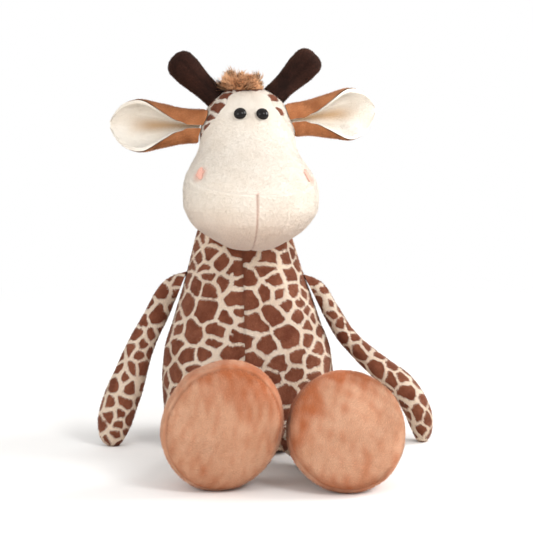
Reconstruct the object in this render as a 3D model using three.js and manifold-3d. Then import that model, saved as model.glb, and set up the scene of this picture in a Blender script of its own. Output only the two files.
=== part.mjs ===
// Plush giraffe that sits with its legs forward. Its covers are sewn from plush panels: a torso that tapers
// into a neck, a pear-shaped head with a wide muzzle, club horns, folded ears, long arms and big round feet.
// Loose fibre fills them all, and a bag of pellets weighs down the seat.
// Millimetres, +Z up. The giraffe faces -Y, its own left is +X, and the origin is the middle of its seat.

import * as THREE from "three";
import { mergeVertices } from "three/addons/utils/BufferGeometryUtils.js";
import Module from "manifold-3d";

const wasm = await Module();
wasm.setup();

// Cloth and clearances
const PLUSH = 2.6; // plush cloth with its pile
const SEAM_GAP = 0.3; // between panels that are sewn edge to edge
const FILL_GAP = 0.35; // between a cover and what fills it
const SEWN_GAP = 0.4; // between a sewn-on piece and the cover that carries it
const OVERRUN = 6; // how far a cutting tool runs past what it cuts
const REACH = 400; // half the side of a block that stands for a half space
const SAME_POINT = 0.0008; // points closer than this are one

// Torso and neck
const NECK_PIVOT_HEIGHT = 157;
const NECK_BALL_RADIUS = 40;
const NECK_JOIN_ANGLE = 16; // degrees above the ball's equator, where the neck's cone runs into the ball
const NECK_LEAN = -4; // sideways
const NECK_SETBACK = 6;
const NECK_OPENING_ANGLE = 53; // degrees above the ball's equator
const BELLY_WIDTH = 139;
const BELLY_DEPTH = 120;
const FLOOR_CUT = 0.5; // how deep a round form is flattened where it stands
const SEAT_PANEL_HEIGHT = 14;
const PELLET_HEIGHT = 34;
const TORSO_SIDES = 20;
const BALL_SIDES = 32;

// The band of gathered cloth and thread where the head is sewn on
const NECK_BAND_THICKNESS = 1.4;
const NECK_BAND_ANGLES = [40, 50]; // degrees above the ball's equator
const HEAD_SOCKET_RADIUS = NECK_BALL_RADIUS + NECK_BAND_THICKNESS + 2 * SEWN_GAP;

// Head, in its own frame: the origin is the middle of the neck's ball
const HEAD_HEIGHT = 125.5;
const CHIN_RISE = 3.5; // chin above the neck's pivot
const MUZZLE_WIDTH = 105.6;
const MUZZLE_REACH = 109;
const NAPE_REACH = 41;
const HEAD_YAW_ANGLE = 6; // degrees, towards the giraffe's left
const HEAD_ROLL_ANGLE = 1.5; // degrees, towards the giraffe's left
const MOUTH_HEIGHT = 51; // at the front, above the neck's pivot
const MOUTH_SLOPE_ANGLE = 10.5; // degrees, rising towards the back
const HEAD_SIDES = 20;

// Eyes
const EYE_DIAMETER = 10;
const EYE_DOME_HEIGHT = 4.6;
const EYE_SPACING = 16.8;
const EYE_HEIGHT_SHARE = 0.828;
const EYE_SHANK_DIAMETER = 3;
const EYE_SHANK_LENGTH = 13;
const EYE_SHANK_RIDGE = 0.35;
const EYE_SHANK_RIDGES = 3;
const EYE_WASHER_DIAMETER = 13;
const EYE_WASHER_THICKNESS = 1.4;
const EYE_WASHER_DEPTH = 4.2; // of its flat side, below the cloth's face
const EYE_SEAT_GAP = 0.7; // under the dome's flat back, over the curved cloth
const EYE_HOLE_CLEARANCE = 0.25;

// Embroidered nostrils
const NOSTRIL_SIZE = [4.6, 6.4]; // half width and half height
const NOSTRIL_THICKNESS = 0.8;
const NOSTRIL_SPREAD = 84;
const NOSTRIL_HEIGHT_SHARE = 0.478;

// Horns
const HORN_LENGTH = 46;
const HORN_TIP_DIAMETER = 25;
const HORN_HEIGHT_SHARE = { left: 0.945, right: 0.925 };
const HORN_SIDE_ANGLE = 97; // degrees round the head from the front
const HORN_LEAN_ANGLE = { left: 44, right: 48 }; // degrees outward
const HORN_SWEEP_ANGLE = 8; // degrees back
const HORN_SIDES = 12;

// Ears
const EAR_LENGTH = 72;
const EAR_CUT_WIDTH = 46; // of the leaf laid flat, near its middle
const EAR_CLOTH = 2.4;
const EAR_HEIGHT_SHARE = { left: 0.79, right: 0.74 };
const EAR_SIDE_ANGLE = 88; // degrees round the head from the front
const EAR_SWEEP_ANGLE = 15; // degrees back
const EAR_LIFT_ANGLE = { left: 7, right: -1 }; // degrees up
const EAR_SWING_ANGLES = [-14, 26]; // degrees forward and back that its root is shaped to clear
const EAR_HINGE_SETBACK = -1.6; // from the middle of the root, towards the back

// Forelock and mane
const FORELOCK_SIZE = [13, 9, 7]; // half sizes of its root
const FORELOCK_SHIFT = -5; // sideways
const LOCK_LENGTH = 12.5;
const LOCK_RADIUS = 4.2;
const MANE_WIDTH = 11;
const MANE_HEIGHT = 8;

// Arms, each sewn on by a slanting seam and hanging to the floor
const SHOULDER_HEIGHT = 131;
const HAND_WIDTH = { left: 24, right: 31 };
const HAND_DEPTH = { left: 30, right: 26 };
const HAND_FORWARD = { left: 2, right: 17 }; // of the shoulder
const ARM_SIDES = 10;

// Legs and feet
const HIP_SPREAD = { left: 25, right: -20 };
const HIP_HEIGHT = 20;
const HIP_SEAM_THICKNESS = 10;
const HIP_SEAM_WIDTH = 24;
const HIP_LIFT_ANGLES = [20, 45]; // degrees up that the leg's root is shaped to clear
const LEG_DIAMETER = 39;
const FOOT_WIDTH = 87.5;
const FOOT_HEIGHT = { left: 91, right: 98.5 };
const FOOT_LENGTH = 65; // ankle to the middle of the sole
const FOOT_REACH = { left: 140, right: 147 }; // origin to the middle of the foot's widest ring
const FEET_GAP = 0.9;
const FOOT_PAIR_SHIFT = 28.2; // sideways, of the gap between the feet
const FOOT_YAW_ANGLE = { left: 5, right: 6 }; // degrees, towards the giraffe's left
const FOOT_PITCH_ANGLE = { left: 24, right: -4 }; // degrees, toes back
const FOOT_ROLL_ANGLE = { left: -6, right: 24 }; // degrees, toes towards the giraffe's left
const FOOT_SIDES = 14;

// Tail
const TAIL_HEIGHT = 30;
const TAIL_DIAMETER = 9;
const TAIL_LENGTH = 50;
const TAIL_TUFT_LENGTH = 26;
const TAIL_TUFT_DIAMETER = 17;

// How far the torso has swelled from the neck to the belly: share of its height, share of the swelling
const TORSO_SWELL_SHARES = [
  [0, 0.18],
  [0.018, 0.53],
  [0.071, 0.82],
  [0.178, 0.97],
  [0.303, 1],
  [0.446, 0.936],
  [0.595, 0.678],
  [0.731, 0.437],
  [0.844, 0.244],
  [1, 0],
];

// Level rings of the head: share of its height, then shares of half the muzzle's width, of the muzzle's reach
// and of the nape's reach, and how egg-shaped the ring is
const HEAD_RING_SHARES = [
  [0, 0, 0.532, -1.41, 0.1],
  [0.012, 0.25, 0.62, -1.1, 0.1],
  [0.036, 0.4, 0.725, -0.7, 0.1],
  [0.084, 0.633, 0.844, 0.35, 0.12],
  [0.139, 0.814, 0.936, 0.93, 0.16],
  [0.203, 0.92, 0.986, 0.99, 0.22],
  [0.275, 0.99, 1, 1, 0.28],
  [0.371, 1, 0.963, 1, 0.3],
  [0.442, 0.966, 0.899, 1, 0.28],
  [0.514, 0.871, 0.798, 0.99, 0.22],
  [0.578, 0.773, 0.697, 0.98, 0.15],
  [0.633, 0.729, 0.606, 0.96, 0.1],
  [0.713, 0.71, 0.486, 0.91, 0.04],
  [0.809, 0.64, 0.385, 0.8, 0],
  [0.873, 0.58, 0.321, 0.68, 0],
  [0.936, 0.455, 0.239, 0.47, 0],
  [0.976, 0.28, 0.156, 0.22, 0],
  [1, 0, 0.037, -0.1, 0],
];

// The seam between the pale face and the spotted back of the head, seen from the side: share of the head's
// height, share of the muzzle's reach
const FACE_SEAM_SHARES = [
  [-0.1, -0.3],
  [0.2, -0.22],
  [0.45, -0.08],
  [0.6, 0.03],
  [0.7, 0.17],
  [0.8, 0.24],
  [0.88, 0.235],
  [0.95, 0.16],
  [1.1, 0.04],
];

// Horn: share of its length, share of its tip's radius. It starts below the head's cover, which cuts it
const HORN_SHARES = [
  [-0.2, 0.76],
  [0, 0.76],
  [0.22, 0.78],
  [0.45, 0.87],
  [0.66, 0.98],
  [0.8, 0.98],
  [0.9, 0.84],
  [0.97, 0.5],
  [1, 0],
];

// Crest of mane: share of its length, share of its full size
const MANE_SHARES = [
  [0, 0.25],
  [0.06, 0.7],
  [0.2, 0.96],
  [0.5, 1],
  [0.8, 0.96],
  [0.94, 0.7],
  [1, 0.25],
];
const NECK_MANE_SHARES = [0.4, 0.55, 0.7, 0.85, 0.94]; // of the neck's height
const HEAD_MANE_SHARES = [0.26, 0.45, 0.63, 0.8, 0.92, 0.985]; // of the head's height

// Ear leaf: share of its length, share of its cut width, and half the angle that the cloth curls through
const EAR_SHARES = [
  [-0.04, 1.4, 166],
  [0.08, 1.48, 168],
  [0.2, 1.5, 163],
  [0.36, 1.54, 140],
  [0.55, 1.4, 103],
  [0.74, 1, 66],
  [0.88, 0.66, 42],
  [0.96, 0.36, 30],
  [1, 0.14, 22],
];

// Middle line of each arm from the shoulder: share of the drop outward, share of the drop down
const ARM_PATH_SHARES = {
  left: [
    [-0.1, -0.02],
    [0.06, 0.05],
    [0.135, 0.17],
    [0.225, 0.32],
    [0.325, 0.43],
    [0.45, 0.54],
    [0.58, 0.65],
    [0.67, 0.78],
    [0.705, 0.9],
    [0.71, 1],
  ],
  right: [
    [-0.1, -0.02],
    [0.07, 0.05],
    [0.175, 0.23],
    [0.265, 0.41],
    [0.33, 0.59],
    [0.395, 0.77],
    [0.425, 0.9],
    [0.42, 1],
  ],
};

// Thickness of an arm: share of its path, share of the hand's half size
const ARM_SHARES = [
  [0, 0.6],
  [0.1, 0.63],
  [0.28, 0.69],
  [0.45, 0.76],
  [0.6, 0.89],
  [0.74, 1],
  [0.86, 0.98],
  [0.93, 0.84],
  [0.975, 0.62],
  [1, 0.36],
];

// Foot, from the ankle to the sole: share of its length, share of its half width, share of its half height
const FOOT_SHARES = [
  [0, 0.45, 0.42],
  [0.1, 0.56, 0.54],
  [0.22, 0.74, 0.72],
  [0.36, 0.9, 0.89],
  [0.5, 0.985, 0.98],
  [0.64, 1, 1],
  [0.77, 0.985, 0.985],
  [0.87, 0.9, 0.9],
  [0.94, 0.68, 0.68],
  [0.985, 0.36, 0.36],
  [1, 0, 0],
];
const SOLE_SEAM_SHARE = 0.79;

// Leg, from the hip's flat seam to the ankle: share of the way, shares of its radius across and up
const LEG_SHARES = [
  [0.22, 0.8, 0.5],
  [0.45, 0.95, 0.82],
  [0.72, 1, 0.97],
];

// Tail: share of its length back, share of its drop down
const TAIL_PATH_SHARES = [
  [0, 0],
  [0.3, 0.32],
  [0.6, 0.85],
  [0.85, 1],
  [1, 1],
];

// Tuft of the tail: share of its length, share of its radius
const TAIL_TUFT_SHARES = [
  [0, 0],
  [0, 0.35],
  [0.12, 0.72],
  [0.35, 1],
  [0.62, 0.86],
  [0.85, 0.5],
  [1, 0.12],
  [1, 0],
];

const { cos, sin, sqrt, PI } = Math;
const radians = THREE.MathUtils.degToRad;
const vector = (x, y, z) => new THREE.Vector3(x, y, z);
const AXIS = { x: vector(1, 0, 0), y: vector(0, 1, 0), z: vector(0, 0, 1) };
const SIDES = { left: 1, right: -1 };

// Reads a column of a table of shares between its rows, on a smooth curve that doesn't overshoot.
function between(table, share, column = 1) {
  const last = table.length - 1;
  if (share <= table[0][0]) return table[0][column];
  if (share >= table[last][0]) return table[last][column];
  const i = table.findIndex((row, k) => k < last && share < table[k + 1][0]);
  const slope = (k) => (table[k + 1][column] - table[k][column]) / (table[k + 1][0] - table[k][0]);
  const tangent = (k) => {
    if (k === 0) return slope(0);
    if (k === last) return slope(last - 1);
    const product = slope(k - 1) * slope(k);
    return product <= 0 ? 0 : (2 * product) / (slope(k - 1) + slope(k));
  };
  const width = table[i + 1][0] - table[i][0];
  const t = (share - table[i][0]) / width;
  return (
    (1 + 2 * t) * (1 - t) ** 2 * table[i][column] +
    t * (1 - t) ** 2 * width * tangent(i) +
    t ** 2 * (3 - 2 * t) * table[i + 1][column] -
    t ** 2 * (1 - t) * width * tangent(i + 1)
  );
}

// Skins rings of equally many points, and closes both ends on the middle of the first and the last ring.
function loft(rings) {
  const count = rings[0].length;
  const middles = [rings[0], rings[rings.length - 1]].map((ring) =>
    ring.reduce((sum, p) => sum.add(p), vector(0, 0, 0)).divideScalar(count),
  );
  const points = [...rings.flat(), ...middles];
  const [first, end] = [points.length - 2, points.length - 1];
  const faces = [];
  for (let i = 0; i < count; i++) {
    const next = (i + 1) % count;
    faces.push(first, next, i);
    const last = (rings.length - 1) * count;
    faces.push(end, last + i, last + next);
    for (let k = 0; k < rings.length - 1; k++) {
      const [a, b] = [k * count, (k + 1) * count];
      faces.push(a + i, a + next, b + next, a + i, b + next, b + i);
    }
  }
  return new THREE.BufferGeometry().setFromPoints(points).setIndex(faces);
}

// A ring of points round a middle, on the plane of two axes.
function oval(middle, across, up, halfWidth, halfHeight, count) {
  return Array.from({ length: count }, (_, i) => {
    const turn = (2 * PI * i) / count;
    return middle
      .clone()
      .addScaledVector(across, halfWidth * cos(turn))
      .addScaledVector(up, halfHeight * sin(turn));
  });
}

// The same closed surface with every point moved out along its normal, or in for a negative distance.
function swell(geometry, distance) {
  const bare = new THREE.BufferGeometry()
    .setAttribute("position", geometry.getAttribute("position").clone())
    .setIndex(geometry.index);
  const moved = mergeVertices(bare, SAME_POINT);
  moved.computeVertexNormals();
  const { position, normal } = moved.attributes;
  const outward = solidOf(moved, true) < 0 ? -distance : distance;
  for (let i = 0; i < position.count; i++) {
    position.setXYZ(
      i,
      position.getX(i) + outward * normal.getX(i),
      position.getY(i) + outward * normal.getY(i),
      position.getZ(i) + outward * normal.getZ(i),
    );
  }
  return moved;
}

// A closed geometry as a solid, its faces turned out. With onlyVolume, the signed volume instead.
function solidOf(geometry, onlyVolume = false) {
  const bare = new THREE.BufferGeometry().setAttribute("position", geometry.getAttribute("position"));
  if (geometry.index) bare.setIndex(geometry.index);
  const merged = mergeVertices(bare, SAME_POINT);
  const faces = Uint32Array.from(merged.index.array);
  const build = () =>
    new wasm.Manifold(
      new wasm.Mesh({ numProp: 3, vertProperties: merged.attributes.position.array, triVerts: faces }),
    );
  const solid = build();
  if (onlyVolume) return solid.volume();
  if (solid.volume() > 0) return solid;
  faces.reverse();
  return build();
}

// The half space in front of a point, along a direction.
function halfSpace(point, direction) {
  const turn = new THREE.Quaternion().setFromUnitVectors(AXIS.z, direction.clone().normalize());
  const box = new THREE.BoxGeometry(2 * REACH, 2 * REACH, 2 * REACH).translate(0, 0, REACH);
  return solidOf(box.applyQuaternion(turn).translate(point.x, point.y, point.z));
}

// Cuts a solid in two by a plane, with half a seam's gap taken from each.
function cutApart(solid, point, direction) {
  const unit = direction.clone().normalize();
  const part = (way) => {
    const outward = unit.clone().multiplyScalar(way);
    return solid.intersect(halfSpace(point.clone().addScaledVector(outward, SEAM_GAP / 2), outward));
  };
  return { ahead: part(1), behind: part(-1) };
}

function ball(middle, radius, sides = TORSO_SIDES) {
  return solidOf(new THREE.SphereGeometry(radius, sides, sides / 2).translate(middle.x, middle.y, middle.z));
}

// A cover as thick as the plush, and the solid of what fills it.
function coverAndFill(geometry) {
  const outer = solidOf(geometry);
  return {
    cover: outer.subtract(solidOf(swell(geometry, -PLUSH))),
    fill: solidOf(swell(geometry, -PLUSH - FILL_GAP)),
  };
}

// What a sewn-on piece keeps clear of: the form that carries it, also as it lies when the piece has swung
// about an axis through its seam by each of these angles in degrees.
function clearances(form, pivot, axis, swings) {
  const cover = swell(form, SEWN_GAP);
  return [0, ...swings].map((swing) => {
    const turn = new THREE.Matrix4().makeRotationAxis(axis, -radians(swing));
    const moved = cover.clone().translate(-pivot.x, -pivot.y, -pivot.z).applyMatrix4(turn);
    return solidOf(moved.translate(pivot.x, pivot.y, pivot.z));
  });
}

// The largest body of a solid, without the crumbs that a cut can leave.
function largest(solid) {
  return solid.decompose().reduce((most, body) => (body.volume() > most.volume() ? body : most));
}

// Colours and finishes
const plush = (color) => new THREE.MeshStandardMaterial({ color, roughness: 0.95, metalness: 0 });
const MATERIALS = {
  spotted: plush(0x8f6450),
  cream: plush(0xf1e7da),
  tan: plush(0xc98a58),
  foot: plush(0xc98d68),
  horn: plush(0x3a221b),
  hair: plush(0xb98252),
  pink: plush(0xe9aba0),
  fibre: plush(0xf6f6f4),
  pellets: plush(0xd9dde0),
  thread: plush(0xe7dccb),
  eye: new THREE.MeshStandardMaterial({ color: 0x0c0a0a, roughness: 0.12, metalness: 0 }),
  washer: new THREE.MeshStandardMaterial({ color: 0xe9e9e6, roughness: 0.5, metalness: 0 }),
};

// A group that turns about a pivot, given in its parent's frame.
function pivotGroup(parent, name, pivot) {
  const group = new THREE.Group();
  group.name = name;
  group.position.copy(pivot);
  parent.add(group);
  return group;
}

// Adds a solid to a group as a named mesh. The solid is given in the frame of the group's parent.
function addPiece(group, name, solid, material) {
  const { vertProperties, triVerts, numProp } = solid.getMesh();
  const points = [];
  for (let i = 0; i < vertProperties.length; i += numProp) {
    points.push(vector(vertProperties[i], vertProperties[i + 1], vertProperties[i + 2]));
  }
  const shared = new THREE.BufferGeometry().setFromPoints(points).setIndex(Array.from(triVerts));
  const geometry = shared.toNonIndexed();
  geometry.translate(-group.position.x, -group.position.y, -group.position.z);
  geometry.computeVertexNormals();
  const mesh = new THREE.Mesh(geometry, material);
  mesh.name = name;
  group.add(mesh);
}

// TORSO

const neckPivot = vector(NECK_LEAN, NECK_SETBACK, NECK_PIVOT_HEIGHT);
const neckJoinHeight = NECK_PIVOT_HEIGHT + NECK_BALL_RADIUS * sin(radians(NECK_JOIN_ANGLE));
const neckJoinRadius = NECK_BALL_RADIUS * cos(radians(NECK_JOIN_ANGLE));

// Middle and half sizes of the torso's level ring at a height.
function torsoRing(height) {
  const share = height / neckJoinHeight;
  const swelling = between(TORSO_SWELL_SHARES, share);
  return {
    middle: vector(NECK_LEAN * share ** 2, NECK_SETBACK * share ** 2, height),
    halfWidth: neckJoinRadius + (BELLY_WIDTH / 2 - neckJoinRadius) * swelling,
    halfDepth: neckJoinRadius + (BELLY_DEPTH / 2 - neckJoinRadius) * swelling,
  };
}

function torsoGeometry() {
  const rings = [];
  const level = ({ middle, halfWidth, halfDepth }) =>
    oval(middle, AXIS.x, AXIS.y, halfWidth, halfDepth, TORSO_SIDES);
  const seat = torsoRing(0);
  seat.middle.z = -FLOOR_CUT;
  rings.push(level({ ...seat, halfWidth: seat.halfWidth / 2, halfDepth: seat.halfDepth / 2 }));
  for (const share of [0, 0.02, 0.07, 0.16, 0.28, 0.42, 0.56, 0.7, 0.85]) {
    rings.push(level(torsoRing(share * neckJoinHeight)));
  }
  for (let angle = NECK_JOIN_ANGLE; angle < 80; angle += 14) {
    const radius = NECK_BALL_RADIUS * cos(radians(angle));
    const middle = neckPivot.clone().addScaledVector(AXIS.z, NECK_BALL_RADIUS * sin(radians(angle)));
    rings.push(level({ middle, halfWidth: radius, halfDepth: radius }));
  }
  return loft(rings);
}

// The point and the outward normal on the torso's side, at a height.
function torsoSide(height, side) {
  const { middle, halfWidth } = torsoRing(height);
  const step = neckJoinHeight / 100;
  const above = torsoRing(height + step);
  const below = torsoRing(height - step);
  const rise = above.middle.x + side * above.halfWidth - below.middle.x - side * below.halfWidth;
  return {
    point: vector(middle.x + side * halfWidth, middle.y, height),
    normal: vector(side * 2 * step, 0, -side * rise).normalize(),
  };
}

// How far forward (sign -1) or back (sign 1) the torso's cover lies at a place across and a height.
function torsoDepthAt(x, height, sign) {
  const { middle, halfWidth, halfDepth } = torsoRing(height);
  return middle.y + sign * halfDepth * sqrt(1 - ((x - middle.x) / halfWidth) ** 2);
}

// A crest of mane: a ridge of ovals along a line of points on a form, cut by the form's cover.
function crest(geometry, line) {
  const path = new THREE.CatmullRomCurve3(line);
  const rings = MANE_SHARES.map(([along, share]) =>
    oval(
      path.getPointAt(along),
      AXIS.x,
      path.getTangentAt(along).cross(AXIS.x),
      (MANE_WIDTH / 2) * share,
      MANE_HEIGHT * share,
      8,
    ),
  );
  return solidOf(loft(rings)).subtract(solidOf(swell(geometry, SEWN_GAP)));
}

function buildTorso(group) {
  const geometry = torsoGeometry();
  const { cover, fill } = coverAndFill(geometry);
  const aboveFloor = halfSpace(vector(0, 0, 0), AXIS.z);
  const openingHeight = NECK_PIVOT_HEIGHT + NECK_BALL_RADIUS * sin(radians(NECK_OPENING_ANGLE));
  const belowOpening = halfSpace(vector(0, 0, openingHeight), vector(0, 0, -1));
  const shell = cover.intersect(aboveFloor).intersect(belowOpening);
  const seat = cutApart(shell, vector(0, 0, SEAT_PANEL_HEIGHT), AXIS.z);
  addPiece(group, "torso_seat_panel", seat.behind, MATERIALS.spotted);
  const halves = cutApart(seat.ahead, vector(0, 0, 0), AXIS.y);
  for (const [face, half] of [["front", halves.behind], ["back", halves.ahead]]) {
    const parts = cutApart(half, vector(0, 0, 0), vector(1, 0, -NECK_LEAN / neckJoinHeight));
    addPiece(group, `torso_${face}_left_panel`, parts.ahead, MATERIALS.spotted);
    addPiece(group, `torso_${face}_right_panel`, parts.behind, MATERIALS.spotted);
  }
  const filling = cutApart(fill, vector(0, 0, PELLET_HEIGHT), AXIS.z);
  addPiece(group, "torso_stuffing", filling.ahead, MATERIALS.fibre);
  addPiece(group, "seat_pellet_bag", filling.behind, MATERIALS.pellets);

  const backLine = NECK_MANE_SHARES.map((share) => {
    const height = share * NECK_PIVOT_HEIGHT;
    return vector(torsoRing(height).middle.x, torsoDepthAt(torsoRing(height).middle.x, height, 1), height);
  });
  addPiece(group, "neck_mane", crest(geometry, backLine), MATERIALS.hair);
  return geometry;
}

// HEAD

const headHeightAt = (share) => CHIN_RISE + HEAD_HEIGHT * share;

// A point of the head's cover: share of its height, and the turn round it from the front towards the left.
function headPoint(share, turn) {
  const egg = between(HEAD_RING_SHARES, share, 4);
  const halfWidth = ((MUZZLE_WIDTH / 2) * between(HEAD_RING_SHARES, share, 1)) / (1 + egg ** 2 / 2);
  const front = -MUZZLE_REACH * between(HEAD_RING_SHARES, share, 2);
  const back = NAPE_REACH * between(HEAD_RING_SHARES, share, 3);
  return vector(
    halfWidth * sin(turn) * (1 + egg * cos(turn)),
    (front + back) / 2 - ((back - front) / 2) * cos(turn),
    headHeightAt(share),
  );
}

function headNormal(share, turn) {
  const step = 0.01;
  const round = headPoint(share, turn + step).sub(headPoint(share, turn - step));
  const rise = headPoint(share + step, turn).sub(headPoint(share - step, turn));
  return round.cross(rise).normalize();
}

// The turn at which the front of the head's cover is this far across.
function turnAcross(share, x) {
  let [low, high] = [-PI / 2, PI / 2];
  for (let i = 0; i < 40; i++) {
    const middle = (low + high) / 2;
    if (headPoint(share, middle).x < x) low = middle;
    else high = middle;
  }
  return (low + high) / 2;
}

function headGeometry() {
  const shares = [0.01, 0.04, 0.1, 0.18, 0.27, 0.37, 0.46, 0.55, 0.64, 0.74, 0.84, 0.92, 0.965, 0.988];
  return loft(
    shares.map((share) =>
      Array.from({ length: HEAD_SIDES }, (_, i) => headPoint(share, (2 * PI * i) / HEAD_SIDES)),
    ),
  );
}

// The space in front of the seam between the face and the back of the head, moved back by a shift.
function faceSpace(shift) {
  const seam = FACE_SEAM_SHARES.map(
    ([height, reach]) => new THREE.Vector2(-MUZZLE_REACH * reach + shift, headHeightAt(height)),
  );
  const outline = new THREE.Shape([new THREE.Vector2(-REACH, seam[0].y)]);
  outline.lineTo(seam[0].x, seam[0].y);
  outline.splineThru(seam.slice(1));
  outline.lineTo(-REACH, seam[seam.length - 1].y);
  const across = { depth: 2 * REACH, bevelEnabled: false, curveSegments: 2 };
  const slab = new THREE.ExtrudeGeometry(outline, across).translate(0, 0, -REACH);
  return solidOf(slab.applyMatrix4(new THREE.Matrix4().makeBasis(AXIS.y, AXIS.z, AXIS.x)));
}

// Where an eye sits: its point on the cover and the direction that it faces.
function eyePlace(side) {
  const turn = turnAcross(EYE_HEIGHT_SHARE, (side * EYE_SPACING) / 2);
  return { point: headPoint(EYE_HEIGHT_SHARE, turn), normal: headNormal(EYE_HEIGHT_SHARE, turn) };
}

// Stands a solid's geometry, drawn along +Y, on a point in a direction.
function standOn(geometry, { point, normal }) {
  const turn = new THREE.Quaternion().setFromUnitVectors(AXIS.y, normal);
  return solidOf(geometry.applyQuaternion(turn).translate(point.x, point.y, point.z));
}

// A safety eye: a glossy dome with a ridged shank that goes through the cloth.
function eyeGeometry() {
  const radius = EYE_DIAMETER / 2;
  const shank = EYE_SHANK_DIAMETER / 2;
  const outline = [new THREE.Vector2(0, -EYE_SHANK_LENGTH)];
  outline.push(new THREE.Vector2(shank - EYE_SHANK_RIDGE, -EYE_SHANK_LENGTH));
  const ridgePitch = (EYE_SHANK_LENGTH - PLUSH) / EYE_SHANK_RIDGES;
  for (let i = 0; i < EYE_SHANK_RIDGES; i++) {
    const foot = -EYE_SHANK_LENGTH + i * ridgePitch;
    outline.push(new THREE.Vector2(shank, foot + ridgePitch / 2));
    outline.push(new THREE.Vector2(shank - EYE_SHANK_RIDGE, foot + ridgePitch));
  }
  outline.push(new THREE.Vector2(shank, 0), new THREE.Vector2(shank, EYE_SEAT_GAP));
  outline.push(new THREE.Vector2(radius, EYE_SEAT_GAP));
  for (let turn = 12; turn < 90; turn += 22) {
    outline.push(
      new THREE.Vector2(radius * cos(radians(turn)), EYE_SEAT_GAP + EYE_DOME_HEIGHT * sin(radians(turn))),
    );
  }
  outline.push(new THREE.Vector2(0, EYE_SEAT_GAP + EYE_DOME_HEIGHT));
  return new THREE.LatheGeometry(outline, 12);
}

// The washer that locks the shank inside the face, a flat ring with a turned-up rim.
function washerGeometry() {
  const [hole, rim] = [EYE_SHANK_DIAMETER / 2 + EYE_HOLE_CLEARANCE, EYE_WASHER_DIAMETER / 2];
  const top = -EYE_WASHER_DEPTH;
  const foot = top - EYE_WASHER_THICKNESS;
  const outline = [
    [hole, foot],
    [rim - EYE_WASHER_THICKNESS, foot],
    [rim, foot + EYE_WASHER_THICKNESS / 2],
    [rim, top],
    [hole, top],
    [hole, foot],
  ];
  return new THREE.LatheGeometry(outline.map(([r, y]) => new THREE.Vector2(r, y)), 16);
}

function buildEyes(group) {
  const holes = [];
  for (const [name, side] of Object.entries(SIDES)) {
    const place = eyePlace(side);
    addPiece(group, `eye_${name}`, standOn(eyeGeometry(), place), MATERIALS.eye);
    addPiece(group, `eye_washer_${name}`, standOn(washerGeometry(), place), MATERIALS.washer);
    const drill = (radius, depth) => {
      const bore = new THREE.CylinderGeometry(radius, radius, depth + EYE_SEAT_GAP, 16);
      return standOn(bore.translate(0, (EYE_SEAT_GAP - depth) / 2, 0), place);
    };
    holes.push({
      cloth: drill(EYE_SHANK_DIAMETER / 2 + EYE_HOLE_CLEARANCE, PLUSH + OVERRUN),
      fill: drill(EYE_WASHER_DIAMETER / 2 + FILL_GAP, EYE_SHANK_LENGTH + FILL_GAP),
    });
  }
  return holes;
}

function buildNostrils(group, geometry) {
  const layer = solidOf(swell(geometry, SEWN_GAP + NOSTRIL_THICKNESS)).subtract(
    solidOf(swell(geometry, SEWN_GAP)),
  );
  for (const [name, side] of Object.entries(SIDES)) {
    const turn = turnAcross(NOSTRIL_HEIGHT_SHARE, (side * NOSTRIL_SPREAD) / 2);
    const place = {
      point: headPoint(NOSTRIL_HEIGHT_SHARE, turn),
      normal: headNormal(NOSTRIL_HEIGHT_SHARE, turn),
    };
    const stamp = new THREE.CylinderGeometry(1, 1, 2 * OVERRUN, 12);
    stamp.scale(NOSTRIL_SIZE[0], 1, NOSTRIL_SIZE[1]);
    addPiece(group, `nostril_${name}`, layer.intersect(standOn(stamp, place)), MATERIALS.pink);
  }
}

// A horn's outer form, drawn along +Y from its root.
function hornGeometry(inset) {
  const radius = HORN_TIP_DIAMETER / 2;
  const outline = HORN_SHARES.map(
    ([along, share]) => new THREE.Vector2(radius * share, HORN_LENGTH * along),
  );
  outline.unshift(new THREE.Vector2(0, HORN_LENGTH * HORN_SHARES[0][0]));
  const geometry = new THREE.LatheGeometry(outline, HORN_SIDES);
  return inset ? swell(solidToGeometry(solidOf(geometry)), -inset) : geometry;
}

function solidToGeometry(solid) {
  const { vertProperties, triVerts } = solid.getMesh();
  return new THREE.BufferGeometry()
    .setAttribute("position", new THREE.BufferAttribute(vertProperties, 3))
    .setIndex(new THREE.BufferAttribute(triVerts, 1));
}

function hornPlace(name) {
  const side = SIDES[name];
  const point = headPoint(HORN_HEIGHT_SHARE[name], side * radians(HORN_SIDE_ANGLE));
  const lean = radians(HORN_LEAN_ANGLE[name]);
  const sweep = radians(HORN_SWEEP_ANGLE);
  return { point, normal: vector(side * sin(lean), cos(lean) * sin(sweep), cos(lean) * cos(sweep)) };
}

function buildHorns(group, headClear) {
  const clearOf = [];
  for (const name of Object.keys(SIDES)) {
    const place = hornPlace(name);
    const outer = standOn(hornGeometry(0), place);
    const cover = outer.subtract(standOn(hornGeometry(PLUSH), place)).subtract(headClear);
    const fill = standOn(hornGeometry(PLUSH + FILL_GAP), place).subtract(headClear);
    addPiece(group, `horn_${name}_cover`, cover, MATERIALS.horn);
    addPiece(group, `horn_${name}_stuffing`, fill, MATERIALS.fibre);
    clearOf.push(standOn(swell(solidToGeometry(solidOf(hornGeometry(0))), SEWN_GAP), place));
  }
  return clearOf;
}

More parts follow.
